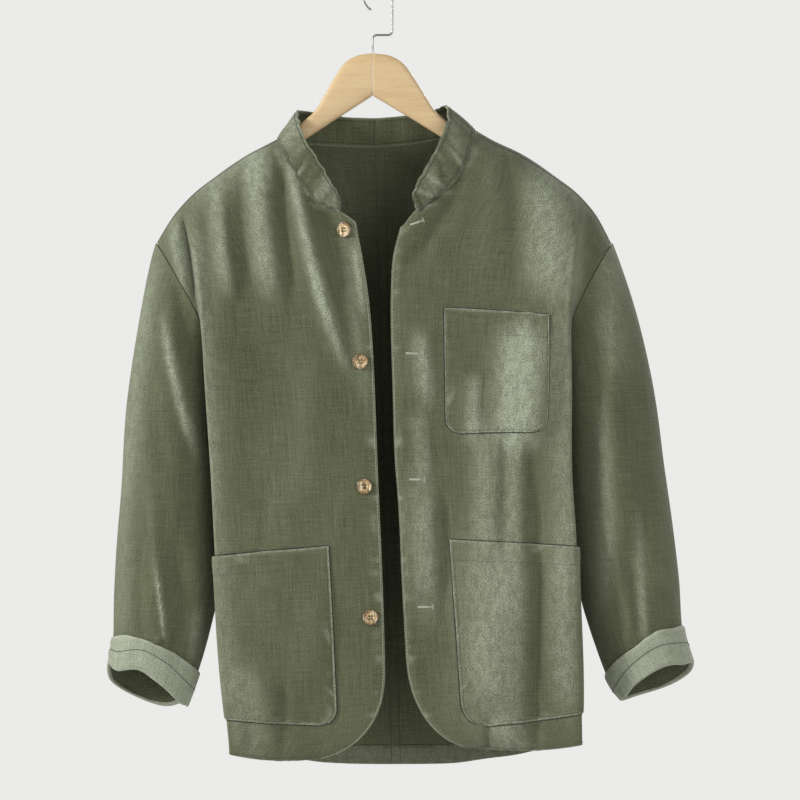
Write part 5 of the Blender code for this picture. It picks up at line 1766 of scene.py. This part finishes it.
def cloth_look(name, colours):
    """Washed linen: slubs along both threads, a crepe grain, faded edges, a soft nap and painted highlights
    on the lit folds, ridges and crests.
    """
    look = Look(name)
    warp = look.noise("cloth", scale=(640, 22, 1), detail=1.0)
    weft = look.noise("cloth", scale=(30, 700, 1), detail=1.0)
    grain = look.noise("cloth", scale=(620, 560, 1), detail=2.5, roughness=0.6)
    crinkle = look.noise("cloth", scale=(150, 75, 1), detail=3.0, roughness=0.6)
    speck = look.noise("cloth", scale=(680, 540, 1), detail=2.0, roughness=0.65)
    threads = look.noise("cloth", scale=(1150, 900, 1), detail=1.0)
    cloud = look.noise("Object", scale=(8, 8, 5), detail=3.0)
    tone = look.weighted((warp, 0.22), (weft, 0.20), (grain, 0.40), (cloud, 0.18))
    colour = look.mix(look.spread(tone, low=0.38, high=0.52), colours.dark, colours.middle)
    colour = look.mix(look.spread(tone, low=0.51, high=0.66), colour, colours.pale)
    patches = look.spread(crinkle, low=0.34, high=0.64, to_low=0.65, to_high=1.15)
    # The mesh attribute carries rubbed wear, pale nap and painted highlights and, speckled, mixes the cloth
    # towards its pale colour
    nap_and_highlight = look.math("MULTIPLY", look.attribute("wear_and_painted_light"), patches)
    rub_and_highlight = look.math("MULTIPLY", nap_and_highlight, look.spread(speck, low=0.36, high=0.62, to_low=0.22, to_high=0.86))
    height = look.weighted((grain, 0.7), (threads, 0.3), (warp, 0.2), (weft, 0.2), (crinkle, 0.7))
    return look.finish(
        look.mix(rub_and_highlight, colour, colours.worn),
        roughness=0.93,
        normal=look.bump(height, distance=0.0019),
        Specular_IOR_Level=0.18,
        Sheen_Weight=0.22,
        Sheen_Roughness=0.45,
        Sheen_Tint=SHEEN_TINT,
    )


def thread_look(name, colours):
    look = Look(name)
    fibre = look.noise("Object", scale=(900, 900, 900), detail=2.0)
    normal = look.bump(fibre, distance=0.0003)
    colour = look.mix(fibre, colours.dark, colours.pale)
    return look.finish(colour, roughness=0.8, normal=normal, Sheen_Weight=0.2)


def wood_look():
    """Pale beech with fine grain along the arms, flecks and a thin lacquer."""
    look = Look("pale_beech")
    grain = look.noise("Object", scale=(14, 260, 190), detail=4.0, roughness=0.6, distortion=0.3)
    fleck = look.noise("Object", scale=(120, 900, 700), detail=2.0)
    broad = look.noise("Object", scale=(5, 40, 30), detail=2.0)
    colour = look.mix(look.spread(grain, low=0.3, high=0.72), BEECH, BEECH_GRAIN)
    colour = look.mix(look.spread(fleck, low=0.58, high=0.75, to_high=0.3), colour, BEECH_FLECK)
    colour = look.mix(look.spread(broad, low=0.35, high=0.7, to_high=0.35), colour, BEECH_PALE)
    rough = look.spread(grain, low=0.3, high=0.8, to_low=0.34, to_high=0.52)
    normal = look.bump(grain, distance=0.0003)
    return look.finish(colour, rough, normal, Coat_Weight=0.05, Coat_Roughness=0.4)


def horn_look():
    """Mottled horn: brown, amber and cream clouds under a polish, with painted shade darkening the rim."""
    look = Look("mottled_horn")
    cloud = look.noise("Object", scale=(210, 210, 130), detail=3.0, roughness=0.55, distortion=1.2)
    streak = look.noise("Object", scale=(420, 300, 120), detail=2.0, distortion=0.8)
    colour = look.mix(look.spread(cloud, low=0.35, high=0.62), HORN_BROWN, HORN_AMBER)
    colour = look.mix(look.spread(streak, low=0.48, high=0.66), colour, HORN_CREAM)
    # Painted shade round the rim
    colour = look.mix(look.weighted((look.attribute("wear_and_painted_light"), 0.7)), colour, HORN_RIM_SHADE)
    rough = look.spread(cloud, low=0.3, high=0.7, to_low=0.22, to_high=0.36)
    return look.finish(colour, rough, look.bump(streak, distance=0.0001), Coat_Weight=0.3)


def wire_look():
    look = Look("drawn_wire")
    drawn = look.noise("Object", scale=(700, 700, 90), detail=3.0)
    rough = look.spread(drawn, low=0.3, high=0.7, to_low=0.24, to_high=0.42)
    normal = look.bump(drawn, distance=0.00008)
    return look.finish(look.mix(drawn, WIRE_DARK, WIRE_PALE), rough, normal, Metallic=1.0)


# The stage

def make_camera():
    lens = bpy.data.cameras.new("camera")
    lens.sensor_width = SENSOR
    lens.lens = SENSOR * VIEW_DISTANCE / VIEW_WIDTH
    camera = bpy.data.objects.new("camera", lens)
    camera.location = (VIEW_CENTRE[0] * MM, (VIEW_PLANE_Y - VIEW_DISTANCE) * MM, VIEW_CENTRE[1] * MM)
    camera.rotation_euler = (math.pi / 2, 0, 0)
    bpy.context.collection.objects.link(camera)
    bpy.context.scene.camera = camera


def make_light(row):
    """A soft square light that looks at the middle of the jacket."""
    lamp = bpy.data.lights.new(row.name, "AREA")
    lamp.size = row.size
    lamp.energy = row.power
    light = bpy.data.objects.new(row.name, lamp)
    light.location = row.place
    toward = np.array(LIGHT_AIM) - np.array(row.place)
    tilt = math.acos(-toward[2] / np.linalg.norm(toward))
    light.rotation_euler = (tilt, 0, math.atan2(toward[1], toward[0]) - math.pi / 2)
    bpy.context.collection.objects.link(light)


def make_world():
    """A pale band all round, level with the jacket, and a dimmer room above and below."""
    world = bpy.data.worlds.new("studio")
    world.use_nodes = True
    nodes = Nodes(world.node_tree)
    parts = nodes.node("ShaderNodeSeparateXYZ")
    nodes.link(nodes.node("ShaderNodeTexCoord").outputs["Generated"], parts.inputs[0])
    height = nodes.math("ABSOLUTE", parts.outputs["Z"])
    colour = nodes.mix(nodes.spread(height, *BAND_HEIGHTS), ROOM_TONE, BAND_TONE)
    nodes.link(colour, nodes.tree.nodes["Background"].inputs["Color"])
    bpy.context.scene.world = world


def make_floor():
    look = Look("pale_floor")
    speck = look.noise("Object", scale=(3, 3, 3), detail=3.0)
    look.finish(look.mix(speck, FLOOR_DARK, FLOOR_PALE), roughness=0.8)
    mesh = bpy.data.meshes.new("floor")
    corners = [(-1, -1), (1, -1), (1, 1), (-1, 1)]
    points = [(x * FLOOR_REACH, y * FLOOR_REACH, -FLOOR_DROP * MM) for x, y in corners]
    mesh.from_pydata(points, [], [(0, 1, 2, 3)])
    mesh.materials.append(look.material)
    floor = bpy.data.objects.new("floor", mesh)
    bpy.context.collection.objects.link(floor)


def make_stage():
    make_camera()
    make_world()
    make_floor()
    for row in LIGHTS:
        make_light(row)
    bpy.context.scene.view_settings.view_transform = "Standard"


def main():
    make_stage()
    cloth = cloth_look("olive_linen", OLIVE)
    cuff = cloth_look("olive_linen_inside", OLIVE_INSIDE)
    olive_thread = thread_look("olive_thread", OLIVE_THREAD)
    pale_thread = thread_look("pale_thread", PALE_THREAD)
    bright_thread = thread_look("bright_thread", HIGHLIT_THREAD)
    dark_thread = thread_look("dark_thread", DARK_THREAD_AND_SHADOW)
    make_panels(cloth)
    make_sleeves(cloth, cuff)
    make_collar(cloth)
    make_pockets(cloth)
    edge = Thread(pale_thread, STITCH_PITCH, SEAM_RADIUS)
    fine = Thread(olive_thread, STITCH_PITCH, STITCH_RADIUS)
    # The seams, hems, collar, cuffs and pocket stitching use the near-black thread: stitching with painted
    # shadow in its grooves
    seam = Thread(dark_thread, SEAM_PITCH, SEAM_RADIUS)
    for side_name, side in SIDES.items():
        make_side_stitching(side_name, side, edge, fine, seam)
    make_centre_seam(seam)
    for name, pocket in POCKETS.items():
        make_stitching(f"{name}_stitching", pocket_rows(pocket), fine._replace(look=dark_thread))
        # Painted shadow round each pocket's edge
        make_stitching(f"{name}_shadow_line", pocket_shadow_line(pocket), seam._replace(radius=POCKET_SHADOW_RADIUS))
    make_buttonholes(bright_thread, pale_thread, dark_thread)
    make_buttons(horn_look(), dark_thread)
    make_hanger(wood_look())
    make_hook(wire_look())


main()
